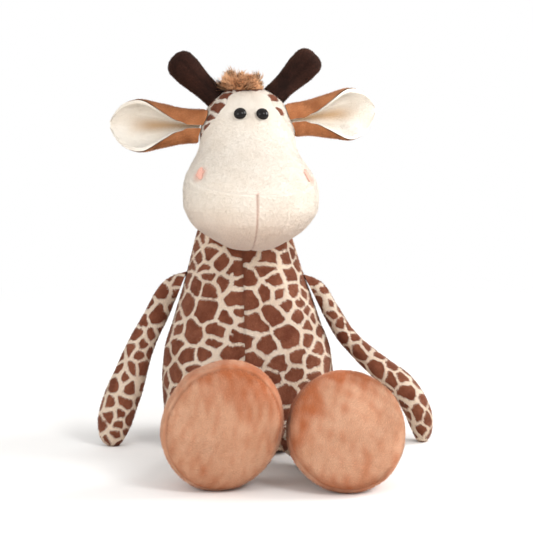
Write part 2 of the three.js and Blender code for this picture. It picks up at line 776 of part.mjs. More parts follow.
// The forelock: a rounded root with a fan of pointed locks.
function buildForelock(group, headClear, horns) {
  const top = headPoint(1, 0).addScaledVector(AXIS.x, FORELOCK_SHIFT);
  const [halfWidth, halfDepth, halfHeight] = FORELOCK_SIZE;
  const sphere = new THREE.SphereGeometry(1, 14, 8).scale(halfWidth, halfDepth, halfHeight);
  let hair = solidOf(sphere.translate(top.x, top.y - halfDepth / 3, top.z));
  const locks = 7;
  for (let i = 0; i < locks; i++) {
    const across = (2 * i) / (locks - 1) - 1;
    const row = (i % 2) * 2 - 1;
    const lock = new THREE.ConeGeometry(LOCK_RADIUS, LOCK_LENGTH, 6).translate(0, LOCK_LENGTH / 2, 0);
    const place = {
      point: vector(top.x + across * halfWidth * 0.7, top.y + (row * halfDepth) / 3 - halfDepth / 3, top.z),
      normal: vector(across * 0.7, -0.25 * row, 1).normalize(),
    };
    hair = hair.add(standOn(lock, place));
  }
  hair = hair.subtract(headClear);
  for (const horn of horns) hair = hair.subtract(horn);
  addPiece(group, "forelock", hair, MATERIALS.hair);
}

function buildHead(group) {
  const geometry = headGeometry();
  const { cover, fill } = coverAndFill(geometry);
  const socket = ball(vector(0, 0, 0), HEAD_SOCKET_RADIUS, BALL_SIDES);
  const holes = buildEyes(group);
  const half = SEAM_GAP / 2;
  let shell = cover.subtract(socket);
  for (const hole of holes) shell = shell.subtract(hole.cloth);
  const front = shell.intersect(faceSpace(-half));
  const back = shell.subtract(faceSpace(half));
  const mouthNormal = vector(0, -sin(radians(MOUTH_SLOPE_ANGLE)), cos(radians(MOUTH_SLOPE_ANGLE)));
  const mouth = cutApart(front, vector(0, -MUZZLE_REACH, MOUTH_HEIGHT), mouthNormal);
  const chin = cutApart(mouth.behind, vector(0, 0, 0), AXIS.x);
  const occiput = cutApart(back, vector(0, 0, 0), AXIS.x);
  addPiece(group, "face_panel", mouth.ahead, MATERIALS.cream);
  addPiece(group, "muzzle_left_panel", chin.ahead, MATERIALS.cream);
  addPiece(group, "muzzle_right_panel", chin.behind, MATERIALS.cream);
  addPiece(group, "head_back_left_panel", occiput.ahead, MATERIALS.spotted);
  addPiece(group, "head_back_right_panel", occiput.behind, MATERIALS.spotted);

  let stuffing = fill.subtract(socket);
  for (const hole of holes) stuffing = stuffing.subtract(hole.fill);
  addPiece(group, "head_stuffing", stuffing, MATERIALS.fibre);

  buildNostrils(group, geometry);
  const headClear = solidOf(swell(geometry, SEWN_GAP));
  const horns = buildHorns(group, headClear);
  buildForelock(group, headClear, horns);
  const napeLine = HEAD_MANE_SHARES.map((share) => headPoint(share, PI));
  addPiece(group, "head_mane", crest(geometry, napeLine), MATERIALS.hair);
  return geometry;
}

// NECK BAND

function buildNeckBand(group) {
  const inner = NECK_BALL_RADIUS + SEWN_GAP;
  const outer = inner + NECK_BAND_THICKNESS;
  const [low, high] = NECK_BAND_ANGLES.map(radians);
  const corner = (radius, angle) => new THREE.Vector2(radius * cos(angle), radius * sin(angle));
  const middle = (low + high) / 2;
  const outline = [
    corner(inner, low),
    corner(outer, low),
    corner(outer, middle),
    corner(outer, high),
    corner(inner, high),
    corner(inner, middle),
    corner(inner, low),
  ];
  const ring = new THREE.LatheGeometry(outline, BALL_SIDES).rotateX(PI / 2);
  addPiece(group, "neck_seam_band", solidOf(ring.translate(...neckPivot)), MATERIALS.thread);
}

// EARS

// One cloth of an ear: a leaf that curls about its length, drawn along +X with its hollow towards -Y.
function earLeaf(innerOffset, thickness) {
  const steps = 8;
  const rings = EAR_SHARES.map(([along, width, curl]) => {
    const halfCurl = radians(curl);
    const radius = (EAR_CUT_WIDTH * width) / 2 / halfCurl;
    const flattening = 0.6 + 0.4 * cos(halfCurl / 2);
    const arc = (offset, reversed) =>
      Array.from({ length: steps + 1 }, (_, i) => {
        const turn = ((reversed ? steps - i : i) / steps - 0.5) * 2 * halfCurl;
        const r = radius + offset;
        const depth = flattening * (r * cos(turn) - radius * cos(halfCurl / 2));
        return vector(EAR_LENGTH * along, depth, r * sin(turn));
      });
    return [...arc(innerOffset, false), ...arc(innerOffset + thickness, true)];
  });
  return sheetLoft(rings);
}

// Skins C-shaped rings and closes both ends with strips across the cloth's thickness.
function sheetLoft(rings) {
  const count = rings[0].length;
  const faces = [];
  for (let k = 0; k < rings.length - 1; k++) {
    for (let i = 0; i < count; i++) {
      const next = (i + 1) % count;
      const [a, b] = [k * count, (k + 1) * count];
      if (i < count / 2) faces.push(a + i, a + next, b + next, a + i, b + next, b + i);
      else faces.push(a + i, a + next, b + i, a + next, b + next, b + i);
    }
  }
  for (const [base, flip] of [[0, true], [(rings.length - 1) * count, false]]) {
    for (let i = 0; i < count / 2 - 1; i++) {
      const quad = [base + i, base + i + 1, base + count - 2 - i, base + count - 1 - i];
      if (flip) quad.reverse();
      faces.push(quad[0], quad[1], quad[2], quad[0], quad[2], quad[3]);
    }
  }
  return new THREE.BufferGeometry().setFromPoints(rings.flat()).setIndex(faces);
}

function buildEar(head, headForm, name) {
  const side = SIDES[name];
  const root = headPoint(EAR_HEIGHT_SHARE[name], side * radians(EAR_SIDE_ANGLE));
  const sweep = radians(EAR_SWEEP_ANGLE);
  const lift = radians(EAR_LIFT_ANGLE[name]);
  const along = vector(side * cos(lift) * cos(sweep), cos(lift) * sin(sweep), sin(lift));
  const backward = vector(-side * sin(sweep), cos(sweep), 0);
  const upward = side > 0 ? along.clone().cross(backward) : backward.clone().cross(along);
  const frame = new THREE.Matrix4().makeBasis(along, backward, upward).setPosition(root);
  const hinge = root.clone().addScaledVector(backward, EAR_HINGE_SETBACK);
  const group = pivotGroup(head, `ear_${name}`, hinge);

  const clear = clearances(headForm, hinge, upward.clone().multiplyScalar(side), EAR_SWING_ANGLES);
  const leaf = (offset, thickness) => {
    const cloth = solidOf(earLeaf(offset, thickness).applyMatrix4(frame));
    return clear.reduce((rest, form) => rest.subtract(form), cloth);
  };
  addPiece(group, `ear_${name}_back`, leaf(0, EAR_CLOTH), MATERIALS.tan);
  addPiece(group, `ear_${name}_lining`, leaf(-EAR_CLOTH - SEAM_GAP, EAR_CLOTH), MATERIALS.cream);
}

// ARMS

function armGeometry(name, shoulder) {
  const side = SIDES[name];
  const drop = SHOULDER_HEIGHT + FLOOR_CUT;
  const path = new THREE.CatmullRomCurve3(
    ARM_PATH_SHARES[name].map(([out, down]) =>
      vector(side * drop * out, -HAND_FORWARD[name] * down, -drop * down).add(shoulder),
    ),
  );
  return loft(
    ARM_SHARES.map(([along, thickness]) => {
      const middle = path.getPointAt(along);
      const across = path.getTangentAt(along).cross(AXIS.y);
      const [halfWidth, halfDepth] = [HAND_WIDTH[name] / 2, HAND_DEPTH[name] / 2];
      return oval(middle, across, AXIS.y, halfWidth * thickness, halfDepth * thickness, ARM_SIDES);
    }),
  );
}

function buildArm(root, name) {
  const { point, normal } = torsoSide(SHOULDER_HEIGHT, SIDES[name]);
  const group = pivotGroup(root, `arm_${name}`, point);
  const geometry = armGeometry(name, point);
  const sewn = (gap) => halfSpace(point.clone().addScaledVector(normal, gap), normal);
  const { cover, fill } = coverAndFill(geometry);
  const aboveFloor = halfSpace(vector(0, 0, 0), AXIS.z);
  const backward = vector(0, SHOULDER_HEIGHT, -HAND_FORWARD[name]);
  const panels = cutApart(cover.intersect(sewn(SEWN_GAP)).intersect(aboveFloor), point, backward);
  addPiece(group, `arm_${name}_front_panel`, panels.behind, MATERIALS.spotted);
  addPiece(group, `arm_${name}_back_panel`, panels.ahead, MATERIALS.spotted);
  addPiece(group, `arm_${name}_stuffing`, fill.intersect(sewn(SEWN_GAP)), MATERIALS.fibre);
}

// LEGS AND FEET

// The foot's axes, and its rings from the ankle to the sole about the middle of its widest ring. Behind that
// ring the foot lies level on the floor.
function footForm(name) {
  const turn = new THREE.Quaternion()
    .setFromAxisAngle(AXIS.z, radians(FOOT_YAW_ANGLE[name]))
    .multiply(new THREE.Quaternion().setFromAxisAngle(AXIS.x, -radians(FOOT_PITCH_ANGLE[name])))
    .multiply(new THREE.Quaternion().setFromAxisAngle(AXIS.y, radians(FOOT_ROLL_ANGLE[name])));
  const [across, ahead, up] = [AXIS.x, AXIS.y.clone().negate(), AXIS.z].map((axis) =>
    axis.clone().applyQuaternion(turn),
  );
  const [halfWidth, halfHeight] = [FOOT_WIDTH / 2, FOOT_HEIGHT[name] / 2];
  const widest = FOOT_SHARES.findIndex((row) => row[1] === 1);
  const ringMiddle = (k) => {
    const reach = FOOT_LENGTH * (FOOT_SHARES[k][0] - FOOT_SHARES[widest][0]);
    const drop = k < widest ? halfHeight * (1 - FOOT_SHARES[k][2]) * up.z + reach * ahead.z : 0;
    return vector(0, 0, 0).addScaledVector(ahead, reach).addScaledVector(AXIS.z, -drop);
  };
  const rings = FOOT_SHARES.slice(0, -1).map(([, width, height], k) =>
    oval(ringMiddle(k), across, up, halfWidth * width, halfHeight * height, FOOT_SIDES),
  );
  return { across, ahead, up, rings, ankle: ringMiddle(0) };
}

// Leg and foot in one form, from the flat seam at the hip to the sole. The foot stands on the floor and meets
// the other foot in the middle of the pair.
function legForm(name, hip, root) {
  const { across, ahead, up, rings, ankle } = footForm(name);
  const side = SIDES[name];
  const points = rings.flat();
  const inner = Math.min(...points.map((p) => side * p.x));
  const place = vector(
    FOOT_PAIR_SHIFT + side * (FEET_GAP / 2 - inner),
    -FOOT_REACH[name],
    -FLOOR_CUT - Math.min(...points.map((p) => p.z)),
  );
  for (const point of points) point.add(place);
  ankle.add(place);
  const legRings = LEG_SHARES.map(([share, width, height]) =>
    oval(
      hip.clone().lerp(ankle, share),
      AXIS.x.clone().lerp(across, share).normalize(),
      AXIS.z.clone().lerp(up, share).normalize(),
      (LEG_DIAMETER / 2) * width,
      (LEG_DIAMETER / 2) * height,
      FOOT_SIDES,
    ),
  );
  const seam = oval(root, AXIS.x, AXIS.z, HIP_SEAM_WIDTH / 2, HIP_SEAM_THICKNESS / 2, FOOT_SIDES);
  return { geometry: loft([seam, ...legRings, ...rings]), ahead, ankle };
}

function buildLeg(root, torsoForm, name) {
  const x = HIP_SPREAD[name];
  const seamReach = Math.abs(x) + HIP_SEAM_WIDTH / 2;
  const hip = vector(x, torsoDepthAt(x, HIP_HEIGHT, -1) - SEWN_GAP, HIP_HEIGHT);
  const seamRoot = vector(x, torsoDepthAt(SIDES[name] * seamReach, HIP_HEIGHT, -1), HIP_HEIGHT);
  const group = pivotGroup(root, `leg_${name}`, hip);
  const { geometry, ahead, ankle } = legForm(name, hip, seamRoot);
  const clear = clearances(torsoForm, hip, AXIS.x.clone().negate(), HIP_LIFT_ANGLES);
  const trim = (solid) => clear.reduce((rest, form) => rest.subtract(form), solid);
  const { cover, fill } = coverAndFill(geometry);
  const aboveFloor = halfSpace(vector(0, 0, 0), AXIS.z);
  const soleSeam = ankle.clone().addScaledVector(ahead, SOLE_SEAM_SHARE * FOOT_LENGTH);
  const sole = cutApart(trim(cover).intersect(aboveFloor), soleSeam, ahead);
  const shoe = cutApart(sole.behind, ankle, ahead);
  const shin = cutApart(shoe.behind, hip, AXIS.z);
  addPiece(group, `foot_${name}_sole`, sole.ahead, MATERIALS.foot);
  addPiece(group, `foot_${name}_upper`, shoe.ahead, MATERIALS.foot);
  addPiece(group, `leg_${name}_top_panel`, shin.ahead, MATERIALS.spotted);
  addPiece(group, `leg_${name}_under_panel`, shin.behind, MATERIALS.spotted);
  const filling = cutApart(trim(fill).intersect(aboveFloor), ankle, ahead);
  addPiece(group, `foot_${name}_stuffing`, filling.ahead, MATERIALS.fibre);
  addPiece(group, `leg_${name}_stuffing`, largest(filling.behind.subtract(cover)), MATERIALS.fibre);
}

// TAIL

function buildTail(root) {
  const radius = TAIL_DIAMETER / 2;
  const start = vector(0, torsoDepthAt(0, TAIL_HEIGHT, 1) + radius + SEWN_GAP, TAIL_HEIGHT);
  const group = pivotGroup(root, "tail", start);
  const rest = TAIL_TUFT_DIAMETER / 2 - FLOOR_CUT;
  const path = new THREE.CatmullRomCurve3(
    TAIL_PATH_SHARES.map(([back, down]) =>
      vector(0, start.y + TAIL_LENGTH * back, start.z - (TAIL_HEIGHT - rest) * down),
    ),
  );
  const tube = loft(
    [0, 0.14, 0.32, 0.5, 0.68, 0.84, 1].map((share) =>
      oval(path.getPointAt(share), AXIS.x, path.getTangentAt(share).cross(AXIS.x), radius, radius, 10),
    ),
  );
  addPiece(group, "tail_cover", solidOf(tube).add(ball(start, radius, 10)), MATERIALS.spotted);

  const outline = TAIL_TUFT_SHARES.map(
    ([along, share]) => new THREE.Vector2((TAIL_TUFT_DIAMETER / 2) * share, TAIL_TUFT_LENGTH * along),
  );
  const end = path.getPointAt(1).addScaledVector(AXIS.y, SEAM_GAP);
  const tuft = standOn(new THREE.LatheGeometry(outline, 12), { point: end, normal: AXIS.y });
  addPiece(group, "tail_tuft", tuft.intersect(halfSpace(vector(0, 0, 0), AXIS.z)), MATERIALS.horn);
}

// ASSEMBLY

const giraffe = new THREE.Group();
giraffe.name = "plush_giraffe";

const torso = pivotGroup(giraffe, "torso", vector(0, 0, 0));
const torsoForm = buildTorso(torso);

const neck = pivotGroup(giraffe, "neck", neckPivot);
buildNeckBand(neck);

const headSwivel = pivotGroup(giraffe, "head_swivel", neckPivot);
headSwivel.rotation.set(0, radians(HEAD_ROLL_ANGLE), radians(HEAD_YAW_ANGLE), "ZYX");
const head = pivotGroup(headSwivel, "head", vector(0, 0, 0));
const headForm = buildHead(head);
for (const name of Object.keys(SIDES)) {
  buildEar(head, headForm, name);
  buildArm(giraffe, name);
  buildLeg(giraffe, torsoForm, name);
}
buildTail(giraffe);

export default giraffe;
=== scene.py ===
"""The looks of a sitting plush giraffe: sewn panels of pile fabric, stuffed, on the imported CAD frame.

Forms are worked out in millimetres, in the frame of the CAD, and become meshes in metres.
"""
import math

import bpy
import numpy as np
from mathutils import Matrix


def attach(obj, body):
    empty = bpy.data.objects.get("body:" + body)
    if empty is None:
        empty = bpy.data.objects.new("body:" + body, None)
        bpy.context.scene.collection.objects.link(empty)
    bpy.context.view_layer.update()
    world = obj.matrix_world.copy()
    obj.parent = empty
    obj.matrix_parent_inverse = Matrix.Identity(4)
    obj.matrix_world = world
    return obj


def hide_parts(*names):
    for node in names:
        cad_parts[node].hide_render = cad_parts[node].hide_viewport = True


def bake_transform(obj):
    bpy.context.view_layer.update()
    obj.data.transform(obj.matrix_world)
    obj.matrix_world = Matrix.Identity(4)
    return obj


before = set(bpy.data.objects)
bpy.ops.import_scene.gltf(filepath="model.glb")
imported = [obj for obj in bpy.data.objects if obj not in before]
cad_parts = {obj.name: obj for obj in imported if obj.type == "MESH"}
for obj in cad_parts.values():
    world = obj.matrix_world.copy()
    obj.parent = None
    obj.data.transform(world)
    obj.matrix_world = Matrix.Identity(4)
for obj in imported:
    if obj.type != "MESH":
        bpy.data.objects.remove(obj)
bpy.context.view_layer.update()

# ---- The giraffe's sizes, as in the CAD, in millimetres and degrees ----
NECK_PIVOT = np.array([-4.0, 6.0, 157.0])
NECK_BALL = 40.0
NECK_JOIN = 16.0
NECK_LEAN, NECK_SETBACK = -4.0, 6.0
BELLY_WIDTH, BELLY_DEPTH = 139.0, 120.0
SEAT_PANEL_HEIGHT = 14.0
NECK_BAND_ANGLES = (40.0, 50.0)
NECK_BAND_THICKNESS = 1.4
SEWN_GAP = 0.4
HEAD_SOCKET = NECK_BALL + NECK_BAND_THICKNESS + 2 * SEWN_GAP
HEAD_HEIGHT, CHIN_RISE = 125.5, 3.5
MUZZLE_WIDTH, MUZZLE_REACH, NAPE_REACH = 105.6, 109.0, 41.0
HEAD_YAW, HEAD_ROLL = 6.0, 1.5
MOUTH_HEIGHT, MOUTH_SLOPE = 51.0, 10.5
EYE_DIAMETER, EYE_DOME = 10.0, 4.6
EYE_SPACING, EYE_HEIGHT_SHARE, EYE_SEAT_GAP = 16.8, 0.828, 0.7
NOSTRIL_SIZE, NOSTRIL_SPREAD, NOSTRIL_HEIGHT_SHARE = (4.6, 6.4), 84.0, 0.478
HORN_LENGTH, HORN_TIP = 46.0, 25.0
HORN_HEIGHT_SHARE = {"left": 0.945, "right": 0.925}
HORN_SIDE, HORN_SWEEP = 97.0, 8.0
HORN_LEAN = {"left": 44.0, "right": 48.0}
EAR_LENGTH, EAR_CUT_WIDTH, EAR_CLOTH = 72.0, 46.0, 2.4
EAR_HEIGHT_SHARE = {"left": 0.79, "right": 0.74}
EAR_SIDE, EAR_SWEEP = 88.0, 15.0
EAR_LIFT = {"left": 7.0, "right": -1.0}
FORELOCK_SHIFT = -5.0
SHOULDER_HEIGHT = 131.0
HAND_WIDTH = {"left": 24.0, "right": 31.0}
HAND_DEPTH = {"left": 30.0, "right": 26.0}
HAND_FORWARD = {"left": 2.0, "right": 17.0}
HIP_SPREAD = {"left": 25.0, "right": -20.0}
HIP_HEIGHT, HIP_SEAM_THICKNESS, HIP_SEAM_WIDTH = 20.0, 10.0, 24.0
LEG_DIAMETER = 39.0
FOOT_WIDTH, FOOT_LENGTH = 87.5, 65.0
FOOT_HEIGHT = {"left": 91.0, "right": 98.5}
FOOT_REACH = {"left": 140.0, "right": 147.0}
FEET_GAP, FOOT_PAIR_SHIFT, FLOOR_CUT = 0.9, 28.2, 0.5
FOOT_YAW = {"left": 5.0, "right": 6.0}
FOOT_PITCH = {"left": 24.0, "right": -4.0}
FOOT_ROLL = {"left": -6.0, "right": 24.0}
SOLE_SEAM_SHARE = 0.79
TAIL_HEIGHT, TAIL_DIAMETER, TAIL_LENGTH = 30.0, 9.0, 50.0
TAIL_TUFT_LENGTH, TAIL_TUFT_DIAMETER = 26.0, 17.0
SIDES = {"left": 1, "right": -1}

TORSO_SWELL = [(0, 0.18), (0.018, 0.53), (0.071, 0.82), (0.178, 0.97), (0.303, 1), (0.446, 0.936),
               (0.595, 0.678), (0.731, 0.437), (0.844, 0.244), (1, 0)]
HEAD_RINGS = [
    (0, 0, 0.532, -1.41, 0.1), (0.012, 0.25, 0.62, -1.1, 0.1), (0.036, 0.4, 0.725, -0.7, 0.1),
    (0.084, 0.633, 0.844, 0.35, 0.12), (0.139, 0.814, 0.936, 0.93, 0.16), (0.203, 0.92, 0.986, 0.99, 0.22),
    (0.275, 0.99, 1, 1, 0.28), (0.371, 1, 0.963, 1, 0.3), (0.442, 0.966, 0.899, 1, 0.28),
    (0.514, 0.871, 0.798, 0.99, 0.22), (0.578, 0.773, 0.697, 0.98, 0.15), (0.633, 0.729, 0.606, 0.96, 0.1),
    (0.713, 0.71, 0.486, 0.91, 0.04), (0.809, 0.64, 0.385, 0.8, 0), (0.873, 0.58, 0.321, 0.68, 0),
    (0.936, 0.455, 0.239, 0.47, 0), (0.976, 0.28, 0.156, 0.22, 0), (1, 0, 0.037, -0.1, 0),
]
FACE_SEAM = [(-0.1, -0.3), (0.2, -0.22), (0.45, -0.08), (0.6, 0.03), (0.7, 0.17), (0.8, 0.24), (0.88, 0.235),
             (0.95, 0.16), (1.1, 0.04)]
HORN = [(-0.2, 0.76), (0, 0.76), (0.22, 0.78), (0.45, 0.87), (0.66, 0.98), (0.8, 0.98), (0.9, 0.84),
        (0.97, 0.5), (1, 0)]
MANE = [(0, 0.25), (0.06, 0.7), (0.2, 0.96), (0.5, 1), (0.8, 0.96), (0.94, 0.7), (1, 0.25)]
NECK_MANE = (0.4, 0.55, 0.7, 0.85, 0.94)
HEAD_MANE = (0.26, 0.45, 0.63, 0.8, 0.92, 0.985)
EAR = [(-0.04, 1.4, 166), (0.08, 1.48, 168), (0.2, 1.5, 163), (0.36, 1.54, 140), (0.55, 1.4, 103),
       (0.74, 1, 66), (0.88, 0.66, 42), (0.96, 0.36, 30), (1, 0.14, 22)]
ARM_PATH = {
    "left": [(-0.1, -0.02), (0.06, 0.05), (0.135, 0.17), (0.225, 0.32), (0.325, 0.43), (0.45, 0.54),
             (0.58, 0.65), (0.67, 0.78), (0.705, 0.9), (0.71, 1)],
    "right": [(-0.1, -0.02), (0.07, 0.05), (0.175, 0.23), (0.265, 0.41), (0.33, 0.59), (0.395, 0.77),
              (0.425, 0.9), (0.42, 1)],
}
ARM = [(0, 0.6), (0.1, 0.63), (0.28, 0.69), (0.45, 0.76), (0.6, 0.89), (0.74, 1), (0.86, 0.98), (0.93, 0.84),
       (0.975, 0.62), (1, 0.36)]
FOOT = [(0, 0.45, 0.42), (0.1, 0.56, 0.54), (0.22, 0.74, 0.72), (0.36, 0.9, 0.89), (0.5, 0.985, 0.98),
        (0.64, 1, 1), (0.77, 0.985, 0.985), (0.87, 0.9, 0.9), (0.94, 0.68, 0.68), (0.985, 0.36, 0.36)]
LEG = [(0.22, 0.8, 0.5), (0.45, 0.95, 0.82), (0.72, 1, 0.97)]
TAIL_PATH = [(0, 0), (0.3, 0.32), (0.6, 0.85), (0.85, 1), (1, 1)]
TAIL_TUFT = [(0, 0.35), (0.12, 0.72), (0.35, 1), (0.62, 0.86), (0.85, 0.5), (1, 0.12)]

# ---- The fabric ----
PILE_ROOM = 1.3  # how far the woven backing lies below the CAD's surface
BACKING = 1.2  # thickness of the backing
SEAM_DEPTH, SEAM_REACH = 1.5, 1.9  # how deep a seam pulls in, and how far from it
MOST_FACES = 196000  # of one piece, so that its export keeps each tuft
PUCKERS, LUMPS, SWIRLS = 9, 34, 26  # how long the puckers, lumps and swirls of the fabric are
ROOT_DEPTH = 0.3  # how deep pile and hair are rooted in the cloth
TUFT_SLOPE = (46, 76)  # how far tufts lean, in degrees
TUFT_TIPS = [0.15, 0.15, 0.15, 1.0]  # how far along a tuft its four corners are
NEAR_TORSO = {"arm_pile": 3, "arm_filling": 4, "leg_pile": 1.5, "leg_filling": 8}  # what is left bare or empty
EAR_EDGE, EAR_BARE = 0.5, 1.2  # how far from the head an ear's cloth and its pile begin
MM = 0.001  # in metres
WAVES = 7  # how many waves the noise adds up
FLAT_HUB = 0.06  # the radius of the first ring when a form is laid out flat

# How far above the floor stay the pile, the cloth, the roots of its pile, hair's backing and a limb's filling
FLOOR, CLOTH_FLOOR, ROOT_FLOOR, HAIR_FLOOR, FILLING_FLOOR = 0.05, 0.35, 0.6, 0.4, 2.2
FILLING_DEPTH = 3.6  # how deep under its cover a limb's filling begins
BATCH = 4000  # how many places are compared with others at a time
X, Y, Z = np.eye(3)


# ---- Small mathematics ----
def unit(v):
    return v / np.maximum(np.linalg.norm(v, axis=-1, keepdims=True), 1e-12)


def between(table, share, column=1):
    """A column of a table of shares, read on a smooth curve that doesn't overshoot."""
    rows = np.array(table, float)
    x, y = rows[:, 0], rows[:, column]
    share = np.clip(np.asarray(share, float), x[0], x[-1])
    slope = np.diff(y) / np.diff(x)
    product, total = slope[:-1] * slope[1:], slope[:-1] + slope[1:]
    middle = np.where(product > 0, 2 * product / np.where(total == 0, 1, total), 0)
    tangent = np.concatenate([slope[:1], middle, slope[-1:]])
    i = np.clip(np.searchsorted(x, share, side="right") - 1, 0, len(x) - 2)
    width = x[i + 1] - x[i]
    t = (share - x[i]) / width
    return ((1 + 2 * t) * (1 - t) ** 2 * y[i] + t * (1 - t) ** 2 * width * tangent[i]
            + t**2 * (3 - 2 * t) * y[i + 1] - t**2 * (1 - t) * width * tangent[i + 1])


def turned(axis, degrees):
    """The matrix that turns column vectors about an axis."""
    x, y, z = unit(np.array(axis, float))
    c, s = math.cos(math.radians(degrees)), math.sin(math.radians(degrees))
    cross = np.array([[0, -z, y], [z, 0, -x], [-y, x, 0]])
    return np.eye(3) * c + s * cross + (1 - c) * np.outer([x, y, z], [x, y, z])


def turns(count):
    """The angles of points spread evenly round a ring."""
    return np.arange(count) / count * 2 * math.pi


def oval(middle, across, up, wide, high, count):
    """A ring of points round a middle."""
    turn = turns(count)
    return middle + wide * np.cos(turn)[:, None] * across + high * np.sin(turn)[:, None] * up


def cubic(before, a, b, after, t):
    """Points of a centripetal curve between a and b, for each t. The inputs may be whole rings of points."""
    gap = lambda p, q: np.maximum(((q - p) ** 2).sum(-1, keepdims=True) ** 0.25, 1e-6)
    d0, d1, d2 = gap(before, a), gap(a, b), gap(b, after)
    ta = d1 * ((a - before) / d0 - (b - before) / (d0 + d1) + (b - a) / d1)
    tb = d1 * ((b - a) / d1 - (after - a) / (d1 + d2) + (after - b) / d2)
    t = np.asarray(t, float).reshape((-1,) + (1,) * a.ndim)
    return a + ta * t + (-3 * a + 3 * b - 2 * ta - tb) * t**2 + (2 * a - 2 * b + ta + tb) * t**3


def smooth_rows(rings, spacing, closed_end=False):
    """Rings of points joined by smooth curves, with rows about spacing apart.

    closed_end means that the last ring is a point.
    """
    rings = list(rings)
    first = 2 * rings[0] - rings[1]
    last = np.roll(rings[-2], len(rings[0]) // 2, axis=0) if closed_end else 2 * rings[-1] - rings[-2]
    points = [first, *rings, last]
    rows = []
    for i in range(1, len(points) - 2):
        reach = np.linalg.norm(points[i + 1] - points[i], axis=-1).max()
        steps = max(1, math.ceil(reach / spacing))
        rows.append(cubic(*points[i - 1:i + 3], np.arange(steps) / steps))
    return np.concatenate([*rows, rings[-1][None]])


class Path:
    """A smooth curve through points, read by its share of length."""

    def __init__(self, points):
        dense = smooth_rows(np.array(points, float)[:, None, :], 0.25)[:, 0]
        run = np.concatenate([[0], np.cumsum(np.linalg.norm(np.diff(dense, axis=0), axis=1))])
        self.dense, self.run = dense, run / run[-1]

    def at(self, share):
        return np.stack([np.interp(share, self.run, self.dense[:, k]) for k in range(3)], -1)

    def tangent(self, share):
        share = np.asarray(share, float)
        return unit(self.at(np.minimum(share + 0.004, 1)) - self.at(np.maximum(share - 0.004, 0)))


def waves(points, length, seed):
    """Smooth seeded noise of about -1 to 1 whose bumps are about length across."""
    rng = np.random.default_rng(seed)
    total = np.zeros(len(points))
    for _ in range(WAVES):
        way = unit(rng.normal(size=3)) * (2 * math.pi / length) * rng.uniform(0.6, 1.5)
        total += np.sin(points @ way + rng.uniform(0, 2 * math.pi))
    return total / math.sqrt(WAVES / 2) / 1.6


def drift(points, length, seed):
    """The same noise as a vector at each point."""
    return np.stack([waves(points, length, seed + k) for k in range(3)], 1)


def soft_step(value, low, high):
    t = np.clip((value - low) / (high - low), 0, 1)
    return t * t * (3 - 2 * t)


def bell(value, reach):
    """1 where a value is 0, and next to nothing at twice reach."""
    return np.exp(-((value / reach) ** 2))


def along_surface(ways, normals):
    """Directions laid flat on the surface."""
    return unit(ways - (ways * normals).sum(1, keepdims=True) * normals)


def past(point, way, by=0):
    """A function of places: how far they lie past a plane through a point, less by."""
    return lambda places: (places - point) @ way - by


def all_along(way):
    """A nap, as fur_panel asks for it, that is the same everywhere."""
    return lambda places, normals: np.tile(way, (len(places), 1))


# ---- Triangle meshes as numpy arrays. A mesh is (data, faces), data has place, normal and flat place ----
def with_normals(places, faces, flat):
    face = np.cross(places[faces[:, 1]] - places[faces[:, 0]], places[faces[:, 2]] - places[faces[:, 0]])
    normals = np.zeros_like(places)
    for k in range(3):
        np.add.at(normals, faces[:, k], face)
    return np.concatenate([places, unit(normals), flat], 1), faces


def grid_faces(count, around, wrap):
    """The triangles of a grid of points. wrap is 1 where it closes, over its rows and over its columns."""
    index = np.pad(np.arange(count * around).reshape(count, around), [(0, closes) for closes in wrap], "wrap")
    a, b, c, d = (corner.ravel() for corner in (index[:-1, :-1], index[:-1, 1:], index[1:, 1:], index[1:, :-1]))
    return np.concatenate([np.stack([a, b, c], 1), np.stack([a, c, d], 1)])


def loft(rows, start=None, end=None):
    """Skins closed rows of points, and closes the ends on points. Rows run against the clock seen from the end."""
    count, around = rows.shape[:2]
    turn = np.tile(turns(around), count)
    along = np.repeat(np.linspace(FLAT_HUB, 1, count), around)
    flat = np.stack([along * np.cos(turn), along * np.sin(turn)], 1)
    places, faces = rows.reshape(-1, 3), [grid_faces(count, around, (0, 1))]
    ring, last = np.arange(around), (count - 1) * around
    following = (ring + 1) % around
    for point, pair in ((start, (following, ring)), (end, (last + ring, last + following))):
        if point is not None:
            faces.append(np.stack([np.full(around, len(places)), *pair], 1))
            places, flat = np.concatenate([places, [point]]), np.concatenate([flat, [[0, 0]]])
    return with_normals(places, np.concatenate(faces), flat)


def corners(mesh):
    """The places of the first, second and third corner of each face."""
    data, faces = mesh
    return (data[faces[:, k], :3] for k in range(3))


def face_areas(mesh):
    a, b, c = corners(mesh)
    return np.linalg.norm(np.cross(b - a, c - a), axis=1) / 2


def flipped(mesh):
    """A mesh that faces the other way."""
    data, faces = mesh
    return with_normals(data[:, :3], faces[:, ::-1].copy(), data[:, 6:])


def facing_out(mesh):
    a, b, c = corners(mesh)
    return flipped(mesh) if (np.cross(a, b) * c).sum() < 0 else mesh


def form(rows, start=None, end=None):
    """A closed form over rings of points. Its ends are in the middle of their rings unless they are given."""
    rows = np.array(rows)
    start = rows[0].mean(0) if start is None else start
    end = rows[-1].mean(0) if end is None else end
    return facing_out(loft(rows, start, end))


def lathe(outline, around):
    """Turns an outline of (radius, height) pairs about +Y."""
    return form([oval(Y * height, X, Z, radius, radius, around) for radius, height in outline])


def placed(mesh, turn, shift):
    """A mesh whose places are multiplied by a matrix and then moved."""
    data, faces = mesh
    data = data.copy()
    data[:, :3] = data[:, :3] @ turn + shift
    data[:, 3:6] = data[:, 3:6] @ turn
    return data, faces


